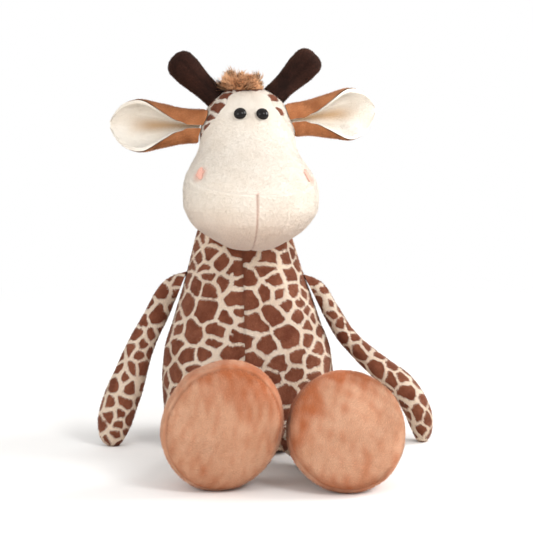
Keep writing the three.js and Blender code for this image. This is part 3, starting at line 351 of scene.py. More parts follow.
def clip(mesh, side):
    """The part of a mesh where side, a number at each vertex or a function of the places, is above 0."""
    data, faces = mesh
    side = side(data[:, :3]) if callable(side) else side
    side = np.where(np.abs(side) < 0.02, 0.02, side)
    inside = side > 0
    count = inside[faces].sum(1)
    kept = [faces[count == 3]]

    def rolled(rows, first):
        return np.stack([rows[np.arange(len(rows)), (first + k) % 3] for k in range(3)], 1)

    one = rolled(faces[count == 1], inside[faces[count == 1]].argmax(1))
    two = rolled(faces[count == 2], (~inside[faces[count == 2]]).argmax(1))
    ends = np.concatenate([one[:, [0, 1]], one[:, [0, 2]], two[:, [0, 1]], two[:, [0, 2]]])
    ends.sort(1)
    keys, inverse = np.unique(ends[:, 0] * len(data) + ends[:, 1], return_inverse=True)
    i, j = keys // len(data), keys % len(data)
    t = (side[i] / (side[i] - side[j]))[:, None]
    fresh = data[i] * (1 - t) + data[j] * t
    ids = len(data) + inverse.reshape(-1)
    n1, n2 = len(one), len(two)
    ab, ac, ob, oc = ids[:n1], ids[n1:2 * n1], ids[2 * n1:2 * n1 + n2], ids[2 * n1 + n2:]
    kept += [np.stack([one[:, 0], ab, ac], 1), np.stack([ob, two[:, 1], two[:, 2]], 1),
             np.stack([ob, two[:, 2], oc], 1)]
    faces, data = np.concatenate(kept), np.concatenate([data, fresh])
    used, faces = np.unique(faces, return_inverse=True)
    data = data[used]
    data[:, 3:6] = unit(data[:, 3:6])
    return data, faces.reshape(-1, 3)


def split(mesh, side):
    """The two parts of a mesh, where a function of the places is above 0 and where it is below."""
    return clip(mesh, side), clip(mesh, lambda places: -side(places))


def open_edges(faces):
    """The directed edges that only one face has."""
    edges = np.concatenate([faces[:, [0, 1]], faces[:, [1, 2]], faces[:, [2, 0]]])
    low, high = edges.min(1), edges.max(1)
    _, inverse, counts = np.unique(low * (faces.max() + 1) + high, return_inverse=True, return_counts=True)
    return edges[counts[inverse.reshape(-1)] == 1]


def closed(mesh):
    """A mesh with its one opening closed by a fan. The normals around the opening stay."""
    data, faces = mesh
    edges = open_edges(faces)
    middle = data[np.unique(edges)].mean(0)
    middle[3:6] = unit(np.cross(data[edges[:, 0], :3] - middle[:3], data[edges[:, 1], :3] - middle[:3]).sum(0)) * -1
    fan = np.stack([edges[:, 1], edges[:, 0], np.full(len(edges), len(data))], 1)
    return np.concatenate([data, middle[None]]), np.concatenate([faces, fan])


def in_batches(measure, points):
    return np.concatenate([measure(points[k:k + BATCH]) for k in range(0, len(points), BATCH)])


def nearest_distance(points, targets):
    if not len(targets):
        return np.full(len(points), 1e3)
    return in_batches(lambda some: np.sqrt(((some[:, None] - targets[None]) ** 2).sum(-1).min(1)), points)


# ---- Objects ----
def srgb(red, green, blue):
    values = np.array([red, green, blue]) / 255
    linear = np.where(values <= 0.04045, values / 12.92, ((values + 0.055) / 1.055) ** 2.4)
    return (*map(float, linear), 1.0)


def make_object(name, places, faces, material, numbers=None, flat=None, normals=None):
    """A mesh object from millimetres. numbers are one value for each vertex, under each name."""
    mesh = bpy.data.meshes.new(name)
    mesh.vertices.add(len(places))
    mesh.vertices.foreach_set("co", (places * MM).astype(np.float32).ravel())
    mesh.loops.add(faces.size)
    mesh.loops.foreach_set("vertex_index", faces.astype(np.int32).ravel())
    mesh.polygons.add(len(faces))
    mesh.polygons.foreach_set("loop_start", np.arange(0, faces.size, 3, dtype=np.int32))
    mesh.polygons.foreach_set("use_smooth", np.full(len(faces), True))
    mesh.update(calc_edges=True)
    for key, values in (numbers or {}).items():
        layer = mesh.attributes.new(key, "FLOAT", "POINT")
        layer.data.foreach_set("value", values.astype(np.float32))
    if flat is not None:
        low, high = flat.min(0), flat.max(0)
        spread = 0.03 + 0.94 * (flat - low) / np.maximum(high - low, 1e-9)
        layer = mesh.uv_layers.new(name="OFBake")
        layer.data.foreach_set("uv", spread[faces.ravel()].astype(np.float32).ravel())
    mesh.materials.append(material)
    if normals is not None:
        mesh.normals_split_custom_set_from_vertices(normals.tolist())
    made = bpy.data.objects.new(name, mesh)
    bpy.context.scene.collection.objects.link(made)
    return made


def settle(piece, body, node):
    """Puts a piece on its body, in place of its CAD node. A piece that goes on no body has None."""
    if body:
        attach(piece, body)
    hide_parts(node)
    return piece


def tufts(roots, normals, lean, length, width, rng):
    """Tufts of pile as slim three-sided spikes: their places, faces and soft normals."""
    count = len(roots)
    lean = along_surface(lean, normals)
    across = np.cross(normals, lean)
    base = roots - ROOT_DEPTH * normals
    places = np.empty((count, 4, 3))
    start = rng.uniform(0, 2 * math.pi, count)[:, None]
    for k in range(3):
        turn = start + k * 2 * math.pi / 3
        places[:, k] = base + width[:, None] / 2 * (np.cos(turn) * lean + np.sin(turn) * across)
    slope = np.radians(rng.uniform(*TUFT_SLOPE, count))[:, None]
    way = np.cos(slope) * normals + np.sin(slope) * lean
    places[:, 3] = roots + way * length[:, None]
    soft = unit(0.8 * normals + 0.35 * way + 0.22 * rng.normal(size=(count, 3)))
    pattern = np.array([[0, 1, 3], [1, 2, 3], [2, 0, 3], [0, 2, 1]])
    faces = (np.arange(count)[:, None, None] * 4 + pattern).reshape(-1, 3)
    return places.reshape(-1, 3), faces, np.repeat(soft, 4, axis=0)


def scatter(mesh, count, rng):
    """Seeded points spread evenly over a mesh: their rows of data and the vertices and weights they come from."""
    data, faces = mesh
    heap = np.cumsum(face_areas(mesh))
    # One point in each equal share of the area keeps them even
    picks = (np.arange(count) + rng.uniform(0, 1, count)) / count * heap[-1]
    face = np.minimum(np.searchsorted(heap, picks), len(faces) - 1)
    u, v = rng.uniform(size=(2, count))
    over = u + v > 1
    u[over], v[over] = 1 - u[over], 1 - v[over]
    weights = np.stack([1 - u - v, u, v], 1)
    vertices = faces[face]
    rows = (data[vertices] * weights[:, :, None]).sum(1)
    rows[:, 3:6] = unit(rows[:, 3:6])
    return rows, vertices, weights


def fur_panel(name, mesh, material, nap, seed, density=2.6, length=1.9, width=0.5, spots=None, bald=None,
              lumps=0.35, seam_depth=SEAM_DEPTH, tint=None, room=PILE_ROOM, free_border=None, ruffle=0.5,
              parting=0.4, seam_reach=SEAM_REACH, faint=None, backing=BACKING):
    """One sewn panel of pile fabric: backing with its edges drawn into the seams, and its pile.

    nap(places, normals) gives the way the pile leans. spots(places) is above 0 in a printed patch.
    bald(places) is true where the pile is pressed away, and free_border(places) where an edge isn't a seam.
    ruffle is how far the pile strays from its nap, and parting how much shorter it is along a seam.
    faint(places) is true where a seam hardly shows.
    """
    rng = np.random.default_rng(seed)
    data, faces = mesh
    data = data.copy()
    edges = open_edges(faces)
    seam = data[np.unique(edges), :3]
    if free_border is not None:
        seam = seam[~free_border(seam)]
    weak = faint(seam) if faint is not None else np.zeros(len(seam), bool)
    away = np.minimum(nearest_distance(data[:, :3], seam[~weak]),
                      nearest_distance(data[:, :3], seam[weak]) + seam_reach)
    # Panels that meet pucker alike, so the noise has the same seeds for all
    pucker = 1 + 0.3 * waves(data[:, :3], PUCKERS, 1)
    inward = room + seam_depth * pucker * bell(away, seam_reach)
    inward += lumps * waves(data[:, :3], LUMPS, 2) * soft_step(away, 0, 12) + lumps * 0.5
    data[:, :3] -= data[:, 3:6] * inward[:, None]
    data[:, 2] = np.maximum(data[:, 2], CLOTH_FLOOR)
    count = int(min(face_areas((data, faces)).sum() * density, (MOST_FACES - 2.3 * len(faces)) / 4))
    rows, vertices, weights = scatter((data, faces), count, rng)
    distance = (away[vertices] * weights).sum(1)
    keep = rows[:, 2] > ROOT_FLOOR
    if bald is not None:
        keep &= ~bald(rows[:, :3])
    rows, distance = rows[keep], distance[keep]
    roots, normals = rows[:, :3], rows[:, 3:6]
    lean = along_surface(nap(roots, normals), normals)
    lean = lean + drift(roots, SWIRLS, seed) * ruffle + rng.normal(size=roots.shape) * 0.4
    long = length * rng.uniform(0.72, 1.2, len(roots)) * (1 - parting + parting * soft_step(distance, 0, 4))
    wide = width * rng.uniform(0.75, 1.3, len(roots))
    places, spikes, soft = tufts(roots, normals, lean, long, wide, rng)
    places[:, 2] = np.maximum(places[:, 2], FLOOR)

    outer = data[:, :3]
    inner = outer - data[:, 3:6] * backing
    inner[:, 2] = np.maximum(inner[:, 2], CLOTH_FLOOR + backing * 0.5)
    n = len(data)
    walls = np.concatenate([np.stack([edges[:, 1], edges[:, 0], edges[:, 0] + n], 1),
                            np.stack([edges[:, 1], edges[:, 0] + n, edges[:, 1] + n], 1)])

    def all_over(on_cloth, on_tufts):
        """A value for each vertex: of the cloth's two sides, and four for each tuft."""
        return np.concatenate([on_cloth, on_cloth, np.repeat(on_tufts, 4, axis=0)])

    # tip and edge carry the painted shade at the pile's roots and along its seams
    numbers = {
        "tip": np.concatenate([np.zeros(2 * n), np.tile(TUFT_TIPS, len(roots))]),
        "shade": all_over(np.full(n, 0.5), rng.uniform(0, 1, len(roots))),
        "edge": all_over(bell(away, seam_reach), bell(distance, seam_reach)),
    }
    for key, values in (("spot", spots), ("tint", tint)):
        if values is not None:
            numbers[key] = all_over(values(outer), values(roots))
    return make_object(
        name, np.concatenate([outer, inner, places]),
        np.concatenate([faces, faces[:, ::-1] + n, walls, spikes + 2 * n]), material, numbers,
        all_over(data[:, 6:8], rows[:, 6:8]), np.concatenate([data[:, 3:6], -data[:, 3:6], soft]))


def sewn(node_name, body, slot, fill, mesh, material, nap, seed, **looks):
    """A panel of pile fabric in place of its CAD node, on its body."""
    name = node_name.replace("_panel", "").replace("_cover", "") + "_skin"
    piece = fur_panel(name, mesh, MATERIALS[material], nap, seed, **looks)
    return settle(piece, body, node_name)


def hair_piece(name, mesh, material, way, seed, count, length, width, bend, locks, room=0.6):
    """A tuft or crest of long hair on a small backing: curling locks of tapering strands of four segments.

    way(places, normals) is the way each lock points, length(places) how long it is, and bend how far it curls.
    """
    rng = np.random.default_rng(seed)
    data, faces = mesh
    data = data.copy()
    data[:, :3] -= data[:, 3:6] * room
    data[:, 2] = np.maximum(data[:, 2], HAIR_FLOOR)
    heads, _, _ = scatter((data, faces), locks, rng)
    aim = unit(way(heads[:, :3], heads[:, 3:6]) + rng.normal(size=(locks, 3)) * 0.22)
    long = length(heads[:, :3]) * rng.uniform(0.75, 1.15, locks)
    curl = unit(np.cross(aim, rng.normal(size=(locks, 3)))) * bend
    drop = np.array([0, 0, -0.3 * bend])
    rows, _, _ = scatter((data, faces), count, rng)
    roots, normals = rows[:, :3], rows[:, 3:6]
    own = ((roots[:, None] - heads[None, :, :3]) ** 2).sum(-1).argmin(1)
    offset = roots - heads[own, :3]
    ahead = unit(aim[own] + rng.normal(size=roots.shape) * 0.12)
    reach = (long[own] * rng.uniform(0.7, 1.08, count))[:, None]
    spread = rng.normal(size=roots.shape) * 0.16

    def middle(level):
        swing = curl[own] * math.sin(level * 2.6) * 0.55 + drop * level**2
        return (heads[own, :3] + offset * (1 - 0.75 * level) + ahead * reach * level
                + (swing + spread * level) * reach - ROOT_DEPTH * normals * (1 - level))

    across = unit(np.cross(ahead, rng.normal(size=roots.shape)))
    other = np.cross(ahead, across)
    places = np.empty((count, 13, 3))
    for row, level in enumerate((0.0, 0.3, 0.55, 0.8)):
        thick = width * (1 - 0.7 * level) / 2
        for k in range(3):
            turn = k * 2 * math.pi / 3
            places[:, 3 * row + k] = middle(level) + thick * (math.cos(turn) * across + math.sin(turn) * other)
    places[:, 12] = middle(1.0)
    pattern = [[0, 2, 1]]
    for row in (0, 3, 6):
        for k in range(3):
            n = (k + 1) % 3
            pattern += [[row + k, row + n, row + 3 + n], [row + k, row + 3 + n, row + 3 + k]]
    pattern += [[9 + k, 9 + (k + 1) % 3, 12] for k in range(3)]
    spikes = (np.arange(count)[:, None, None] * 13 + np.array(pattern)).reshape(-1, 3)
    strands = places.reshape(-1, 3)
    strands[:, 2] = np.maximum(strands[:, 2], FLOOR)
    soft = unit(normals * 0.6 + ahead * 0.3 + 0.4 * rng.normal(size=roots.shape))
    n = len(data)
    tip = np.concatenate([np.zeros(n), np.tile([0.1] * 3 + [0.4] * 3 + [0.65] * 3 + [0.85] * 3 + [1.0], count)])
    tone = np.clip(0.5 * rng.uniform(0, 1, locks)[own] + 0.5 * rng.uniform(0, 1, count), 0, 1)
    shade = np.concatenate([np.full(n, 0.4), np.repeat(tone, 13)])
    flat = np.concatenate([data[:, 6:8], np.repeat(rows[:, 6:8], 13, axis=0)])
    return make_object(
        name, np.concatenate([data[:, :3], strands]), np.concatenate([faces, spikes + n]), material,
        {"tip": tip, "shade": shade}, flat, np.concatenate([data[:, 3:6], np.repeat(soft, 13, axis=0)]))


def join_pieces(name, pieces):
    """Makes one object of several that have the same kind of data."""
    with bpy.context.temp_override(active_object=pieces[0], selected_editable_objects=pieces, object=pieces[0]):
        bpy.ops.object.join()
    pieces[0].name = pieces[0].data.name = name
    return pieces[0]


def filling(node_name, mesh, body):
    """The loose filling of a limb, just inside its cover, in place of its CAD node."""
    data, faces = mesh
    places = data[:, :3] - data[:, 3:6] * FILLING_DEPTH
    places[:, 2] = np.maximum(places[:, 2], FILLING_FLOOR)
    piece = make_object(node_name.replace("stuffing", "filling"), places, faces, MATERIALS["fibre"])
    return settle(piece, body, node_name)


# ---- Materials ----
def node(tree, kind, inputs=None, **settings):
    made = tree.nodes.new(kind)
    for key, value in settings.items():
        setattr(made, key, value)
    for key, value in (inputs or {}).items():
        if isinstance(value, bpy.types.NodeSocket):
            tree.links.new(value, made.inputs[key])
        else:
            made.inputs[key].default_value = value
    return made


def new_material(name, **values):
    material = bpy.data.materials.new(name)
    material.use_nodes = True
    tree = material.node_tree
    shader = tree.nodes["Principled BSDF"]
    for key, value in values.items():
        shader.inputs[key.replace("_", " ")].default_value = value
    return material, tree, shader


def attribute(tree, name):
    return node(tree, "ShaderNodeAttribute", attribute_name=name).outputs["Fac"]


def ranged(tree, value, low, high, to_low, to_high):
    inputs = {"Value": value, "From Min": low, "From Max": high, "To Min": to_low, "To Max": to_high}
    return node(tree, "ShaderNodeMapRange", inputs).outputs["Result"]


def mixed(tree, factor, a, b):
    """A mix of two colours. Each is (red, green, blue) of 0 to 255, or comes from another node."""
    a, b = (srgb(*colour) if isinstance(colour, tuple) else colour for colour in (a, b))
    return node(tree, "ShaderNodeMix", {0: factor, 6: a, 7: b}, data_type="RGBA").outputs[2]


def computed(tree, operation, a, b):
    return node(tree, "ShaderNodeMath", {0: a, 1: b}, operation=operation).outputs[0]


def own_place(tree):
    return node(tree, "ShaderNodeTexCoord").outputs["Object"]


def noise(tree, scale, detail=3.0):
    inputs = {"Vector": own_place(tree), "Scale": scale, "Detail": detail, "Roughness": 0.55}
    return node(tree, "ShaderNodeTexNoise", inputs).outputs["Fac"]


def bumps(tree, shader, height, strength, distance):
    bump = node(tree, "ShaderNodeBump", {"Height": height, "Strength": strength, "Distance": distance})
    tree.links.new(bump.outputs["Normal"], shader.inputs["Normal"])


def pile_material(name, light, dark, patch=None, patch_dark=None, tinted=None, sheen=0.35, deep=0.7,
                  vary=(0.86, 1.12), sheen_tint=(255, 255, 255), painted_seam_shade=0.3):
    """Pile fabric: two tones of its colour in cloudy nap, painted shade at the roots, each tuft a little different.

    patch is the colour of printed patches, and tinted the colour of blush, streaks and darker nap, and also of
    painted shade on the feet and in an ear's fold.
    deep is how bright the roots are under their painted shade, vary how bright the tufts are, and the last how much
    painted shade darkens the pile along a seam.
    """
    material, tree, shader = new_material(name, Roughness=0.93, Sheen_Weight=sheen, Sheen_Roughness=0.45,
                                          Sheen_Tint=srgb(*sheen_tint), Specular_IOR_Level=0.25)
    colour = mixed(tree, ranged(tree, noise(tree, 55), 0.35, 0.65, 0, 1), light, dark)
    if patch:
        printed = ranged(tree, attribute(tree, "spot"), -0.3, 0.3, 0, 1)
        brown = mixed(tree, ranged(tree, noise(tree, 90), 0.35, 0.65, 0, 1), patch, patch_dark)
        colour = mixed(tree, printed, colour, brown)
    if tinted:
        colour = mixed(tree, attribute(tree, "tint"), colour, tinted)
    # Painted shade: darker toward the roots of the tufts and along the seams
    level = computed(tree, "MULTIPLY", ranged(tree, attribute(tree, "tip"), 0, 1, deep, 1.04),
                     ranged(tree, attribute(tree, "shade"), 0, 1, *vary))
    level = computed(tree, "MULTIPLY", level, ranged(tree, attribute(tree, "edge"), 0, 1, 1, 1 - painted_seam_shade))
    final = node(tree, "ShaderNodeVectorMath", {"Vector": colour, "Scale": level}, operation="SCALE")
    tree.links.new(final.outputs["Vector"], shader.inputs["Base Color"])
    bumps(tree, shader, noise(tree, 1400, 2.0), 0.35, 0.0004)
    return material


def thread_material(name, colour, dark):
    material, tree, shader = new_material(name, Roughness=0.5, Sheen_Weight=0.3, Specular_IOR_Level=0.4)
    inputs = {"Vector": own_place(tree), "Scale": 900.0, "Distortion": 2.0}
    twist = node(tree, "ShaderNodeTexWave", inputs).outputs["Fac"]
    tree.links.new(mixed(tree, twist, colour, dark), shader.inputs["Base Color"])
    bumps(tree, shader, twist, 0.5, 0.0002)
    return material


def eye_material():
    material, tree, shader = new_material("eye_plastic", Roughness=0.07, Coat_Weight=0.45, Coat_Roughness=0.03,
                                          Coat_IOR=1.36, Specular_IOR_Level=0.1)
    tree.links.new(mixed(tree, noise(tree, 500), (22, 15, 13), (9, 7, 7)), shader.inputs["Base Color"])
    scuffs = ranged(tree, noise(tree, 2200, 4.0), 0.45, 0.75, 0.1, 0.3)
    tree.links.new(scuffs, shader.inputs["Roughness"])
    return material


def plain_material(name, colour, dark, scale, roughness):
    material, tree, shader = new_material(name, Roughness=roughness)
    tree.links.new(mixed(tree, noise(tree, scale), colour, dark), shader.inputs["Base Color"])
    bumps(tree, shader, noise(tree, scale * 3), 0.4, 0.0005)
    return material


PRINT = {"patch": (152, 92, 68), "patch_dark": (124, 67, 46), "sheen": 0.22, "sheen_tint": (255, 212, 188)}
MATERIALS = {
    "spotted": pile_material("spotted_plush", (253, 236, 217), (244, 223, 201), **PRINT, deep=0.8),
    "brow": pile_material("head_plush", (250, 241, 229), (244, 233, 219), **PRINT, deep=0.9, painted_seam_shade=0.1),
    "cream": pile_material("cream_plush", (250, 240, 227), (244, 232, 217), tinted=(238, 180, 158), deep=0.93,
                           vary=(0.93, 1.05), painted_seam_shade=0.24),
    # The lining's tinted beige is partly painted shade in its fold
    "lining": pile_material("lining_plush", (254, 247, 236), (250, 240, 226), tinted=(214, 178, 138), deep=0.95,
                            vary=(0.95, 1.04), painted_seam_shade=0.0),
    "tan": pile_material("tan_plush", (216, 146, 98), (196, 124, 78), tinted=(150, 84, 46), sheen=0.22,
                         sheen_tint=(255, 214, 180), vary=(0.78, 1.16), painted_seam_shade=0.1),
    "foot": pile_material("foot_plush", (231, 180, 148), (219, 163, 129), tinted=(198, 116, 74), sheen=0.3,
                          sheen_tint=(255, 222, 200), deep=0.8, vary=(0.86, 1.1), painted_seam_shade=0.34),
    "horn": pile_material("horn_plush", (60, 33, 24), (39, 20, 14), sheen=0.12, vary=(0.45, 1.8),
                          sheen_tint=(200, 140, 110)),
    "hair": pile_material("hair_plush", (250, 196, 150), (229, 165, 119), sheen=0.15, deep=0.78,
                          sheen_tint=(255, 214, 180), vary=(0.8, 1.18)),
    "dark_hair": pile_material("dark_hair_plush", (96, 62, 52), (70, 43, 35), deep=0.6),
    "pink_thread": thread_material("pink_thread", (238, 184, 166), (226, 166, 146)),
    "seam_thread": thread_material("seam_thread", (232, 221, 204), (208, 194, 174)),
    "eye": eye_material(),
    "fibre": plain_material("fibre_filling", (246, 246, 243), (228, 228, 224), 240, 0.95),
    "pellets": plain_material("pellet_bag", (218, 222, 224), (196, 200, 203), 320, 0.9),
    "washer": plain_material("washer_plastic", (234, 234, 230), (222, 222, 218), 400, 0.5),
}


# ---- Printed patches ----
def patches(mesh, spacing, seed, tall=1.0, line=1.5):
    """A print of rounded patches for one panel: a function of places, above 0 inside a patch."""
    rng = np.random.default_rng(seed)
    tries, slit_share = 2600, 0.13
    warp_length, edge_length, ragged_length = 13, 30, 4.5
    rounding = 0.5  # of the patches' corners
    rows, _, _ = scatter(mesh, tries, rng)
    stretch = np.array([1, 1, 1 / tall])
    order = rng.permutation(len(rows))
    candidates = rows[order, :3] * stretch
    wanted = spacing * (0.52 + 0.9 * rng.uniform(size=len(order)) ** 1.2)
    taken = []
    for k in range(len(order)):
        apart = np.linalg.norm(candidates[taken] - candidates[k], axis=1)
        if (apart > (wanted[taken] + wanted[k]) / 2).all():
            taken.append(k)
    seeds, sizes = candidates[taken], wanted[taken]
    slits = []
    for middle, size in zip(seeds, sizes):
        if rng.uniform() < slit_share:
            apart = np.linalg.norm(candidates - middle, axis=1)
            near = candidates[(apart > 0.45 * size) & (apart < 0.62 * size)]
            if len(near):
                outer = near[rng.integers(len(near))]
                slits.append((outer + (middle - outer) * 0.62, outer))

    def from_edge(points):
        """How far stretched places are inside the patch that they lie in."""
        # Larger patches hold more ground
        power = ((points[:, None] - seeds[None]) ** 2).sum(-1) - (sizes[None] * 0.34) ** 2
        own = np.arange(len(points)), power.argmin(1)
        apart = np.linalg.norm(seeds[None] - seeds[own[1]][:, None], axis=-1)
        apart[own] = 1e9
        edge = (power - power[own][:, None]) / (2 * apart)
        edge[own] = 1e3
        return -rounding * np.log(np.exp(-np.minimum(edge, 60) / rounding).sum(1))

    def field(points):
        q = points * stretch + drift(points, warp_length, seed + 40)
        out = in_batches(from_edge, q)
        for a, b in slits:
            run = b - a
            t = np.clip(((q - a) @ run) / (run @ run), 0, 1)
            out = np.minimum(out, np.linalg.norm(q - a - t[:, None] * run, axis=1) + 1.25 - 1.3 * t)
        ragged = 0.4 * waves(points, ragged_length, seed + 61)
        return out - line - 0.45 * waves(points, edge_length, seed + 60) + ragged

    return field


# ---- TORSO ----
JOIN_HEIGHT = NECK_PIVOT[2] + NECK_BALL * math.sin(math.radians(NECK_JOIN))
JOIN_RADIUS = NECK_BALL * math.cos(math.radians(NECK_JOIN))


def torso_ring(height):
    """The middle, half the width and half the depth of the torso at a height."""
    share = np.asarray(height, float) / JOIN_HEIGHT
    swell = between(TORSO_SWELL, share)
    middle = np.stack([NECK_LEAN * share**2, NECK_SETBACK * share**2, np.asarray(height, float)], -1)
    return middle, *(JOIN_RADIUS + (size / 2 - JOIN_RADIUS) * swell for size in (BELLY_WIDTH, BELLY_DEPTH))


def torso_depth(x, height, sign):
    """The y of the torso's front, for sign -1, or of its back."""
    middle, wide, deep = torso_ring(height)
    return middle[1] + sign * deep * math.sqrt(1 - ((x - middle[0]) / wide) ** 2)


def torso_side(height, side):
    """The outermost point of the torso at a height, and its normal."""
    middle, wide, _ = torso_ring(height)
    step = JOIN_HEIGHT / 100
    above, wide_above, _ = torso_ring(height + step)
    below, wide_below, _ = torso_ring(height - step)
    rise = above[0] + side * wide_above - below[0] - side * wide_below
    return np.array([middle[0] + side * wide, middle[1], height]), unit(np.array([side * 2 * step, 0, -side * rise]))


def torso_gap(places):
    """About how far places are outside the torso."""
    height = np.clip(places[:, 2], 0.5, JOIN_HEIGHT)
    middle, wide, deep = torso_ring(height)
    offset = (places - middle)[:, :2] / np.stack([wide, deep], 1)
    return (np.linalg.norm(offset, axis=1) - 1) * np.minimum(wide, deep)


def torso_mesh():
    around, neck_step = 210, 2.6
    middle, wide, deep = torso_ring(0.0)
    rows = [oval(middle, X, Y, wide * share, deep * share, around) for share in np.linspace(0.08, 0.96, 12)]
    for height in np.concatenate([np.linspace(0, 0.06, 9)[:-1], np.linspace(0.06, 1, 88)]) * JOIN_HEIGHT:
        ring, wide, deep = torso_ring(height)
        rows.append(oval(ring, X, Y, wide, deep, around))
    for angle in np.radians(np.arange(NECK_JOIN + neck_step, 62, neck_step)):
        radius = NECK_BALL * math.cos(angle)
        rows.append(oval(NECK_PIVOT + Z * NECK_BALL * math.sin(angle), X, Y, radius, radius, around))
    return facing_out(loft(np.array(rows), start=middle))


def hidden_neck(places):
    """Where the neck's pile is inside the head."""
    near = np.linalg.norm(places - NECK_PIVOT, axis=1) < NECK_BALL + 6
    return near & (places[:, 2] > NECK_PIVOT[2] + 24)


def build_torso():
    above_seat, seat = split(torso_mesh(), past(0, Z, SEAT_PANEL_HEIGHT))
    tilt = np.array([1, 0, -NECK_LEAN / JOIN_HEIGHT])
    seed = 100
    for face, way in (("front", -1), ("back", 1)):
        half = clip(above_seat, past(0, way * Y))
        for name, side in SIDES.items():
            mesh = clip(half, past(0, side * tilt))
            seed += 10
            sewn(f"torso_{face}_{name}_panel", "torso", "spotted_plush", 0.85, mesh, "spotted", all_along(-Z), seed,
                 spots=patches(mesh, 18.5, seed + 3, tall=0.76, line=1.8), bald=hidden_neck, density=2.7,
                 seam_depth=0.9)
    sewn("torso_seat_panel", "torso", "spotted_plush", 0.7, seat, "spotted", all_along(-Z), 90,
         spots=patches(seat, 18, 93, line=1.8), density=2.2)


build_torso()


# ---- HEAD ----
HEAD_TURN = turned((0, 0, 1), HEAD_YAW) @ turned((0, 1, 0), HEAD_ROLL)


def out_of_head(places):
    """From the head's own frame to the whole toy's."""
    return places @ HEAD_TURN.T + NECK_PIVOT


def into_head(places):
    return (places - NECK_PIVOT) @ HEAD_TURN


def head_rise(share):
    return CHIN_RISE + HEAD_HEIGHT * np.asarray(share, float)


def head_ring(share):
    """Half the width, the foremost and hindmost y, and the egg shape of a level ring."""
    egg = between(HEAD_RINGS, share, 4)
    return (MUZZLE_WIDTH / 2 * between(HEAD_RINGS, share, 1) / (1 + egg**2 / 2),
            -MUZZLE_REACH * between(HEAD_RINGS, share, 2), NAPE_REACH * between(HEAD_RINGS, share, 3), egg)


def head_point(share, turn):
    share, turn = np.broadcast_arrays(np.asarray(share, float), np.asarray(turn, float))
    wide, front, back, egg = head_ring(share)
    return np.stack([wide * np.sin(turn) * (1 + egg * np.cos(turn)),
                     (front + back) / 2 - (back - front) / 2 * np.cos(turn), head_rise(share)], -1)


def head_gap(places):
    """About how far places of the toy are outside the head."""
    p = into_head(places)
    wide, front, back, egg = head_ring(np.clip((p[:, 2] - CHIN_RISE) / HEAD_HEIGHT, 0.01, 0.99))
    ahead = ((front + back) / 2 - p[:, 1]) / ((back - front) / 2)
    aside = p[:, 0] / (wide * (1 + egg * np.clip(ahead, -1, 1)))
    return (np.hypot(ahead, aside) - 1) * np.minimum(wide, (back - front) / 2)


def head_normal(share, turn):
    step = 0.01
    round_it = head_point(share, turn + step) - head_point(share, turn - step)
    rise = head_point(share + step, turn) - head_point(share - step, turn)
    return unit(np.cross(round_it, rise))


def turn_across(share, x):
    """The turn at which the front of the head reaches x."""
    share, x = np.broadcast_arrays(np.asarray(share, float), np.asarray(x, float))
    low, high = np.full(share.shape, -math.pi / 2), np.full(share.shape, math.pi / 2)
    for _ in range(30):
        middle = (low + high) / 2
        less = head_point(share, middle)[..., 0] < x
        low, high = np.where(less, middle, low), np.where(less, high, middle)
    return (low + high) / 2


def head_mesh():
    t = np.linspace(0, 1, 118)
    shares = 0.6 * t + 0.4 * (0.5 - 0.5 * np.cos(math.pi * t))
    shares = shares[(shares > 0.004) & (shares < 0.994)]
    return form(head_point(shares[:, None], turns(220)[None]), head_point(0, 0), head_point(1, 0))


def before_seam(places):
    """How far places of the head are in front of the seam round the face."""
    return -MUZZLE_REACH * between(FACE_SEAM, (places[:, 2] - CHIN_RISE) / HEAD_HEIGHT) - places[:, 1]


over_mouth = past([0, -MUZZLE_REACH, MOUTH_HEIGHT],
                  np.array([0, -math.sin(math.radians(MOUTH_SLOPE)), math.cos(math.radians(MOUTH_SLOPE))]))


def head_panels():
    """The panels of the head's cover, in the head's own frame."""
    front, rear = split(clip(head_mesh(), lambda p: np.linalg.norm(p, axis=1) - HEAD_SOCKET), before_seam)
    face, chin = split(front, over_mouth)
    cut = [face, *split(chin, past(0, X)), *split(rear, past(0, X))]
    names = ("face", "muzzle_left", "muzzle_right", "head_back_left", "head_back_right")
    return {f"{name}_panel": mesh for name, mesh in zip(names, cut)}


eye_places, nostril_places, horn_places, ear_frames = {}, {}, {}, {}
for name, side in SIDES.items():
    for places, height, spread in ((eye_places, EYE_HEIGHT_SHARE, EYE_SPACING),
                                   (nostril_places, NOSTRIL_HEIGHT_SHARE, NOSTRIL_SPREAD)):
        turn = turn_across(height, side * spread / 2)
        places[name] = (head_point(height, turn), head_normal(height, turn))
    point = head_point(HORN_HEIGHT_SHARE[name], side * math.radians(HORN_SIDE))
    lean, sweep = math.radians(HORN_LEAN[name]), math.radians(HORN_SWEEP)
    horn_places[name] = (point, np.array([side * math.sin(lean), math.cos(lean) * math.sin(sweep),
                                          math.cos(lean) * math.cos(sweep)]))
    root = head_point(EAR_HEIGHT_SHARE[name], side * math.radians(EAR_SIDE))
    sweep, lift = math.radians(EAR_SWEEP), math.radians(EAR_LIFT[name])
    along = np.array([side * math.cos(lift) * math.cos(sweep), math.cos(lift) * math.sin(sweep), math.sin(lift)])
    backward = np.array([-side * math.sin(sweep), math.cos(sweep), 0])
    upward = np.cross(along, backward) if side > 0 else np.cross(backward, along)
    ear_frames[name] = (root, np.stack([along, backward, upward]))


def under_sewn_pieces(places):
    """Where the head's pile is pressed away, in the neck's socket and under the eyes and horns. Places are the toy's.
    """
    p = into_head(places)
    hidden = np.linalg.norm(p, axis=1) < HEAD_SOCKET + 1
    for point, _ in eye_places.values():
        hidden |= np.linalg.norm(p - point, axis=1) < EYE_DIAMETER / 2 + 0.2
    for point, _ in horn_places.values():
        hidden |= np.linalg.norm(p - point, axis=1) < HORN_TIP / 2 * 0.7
    return hidden


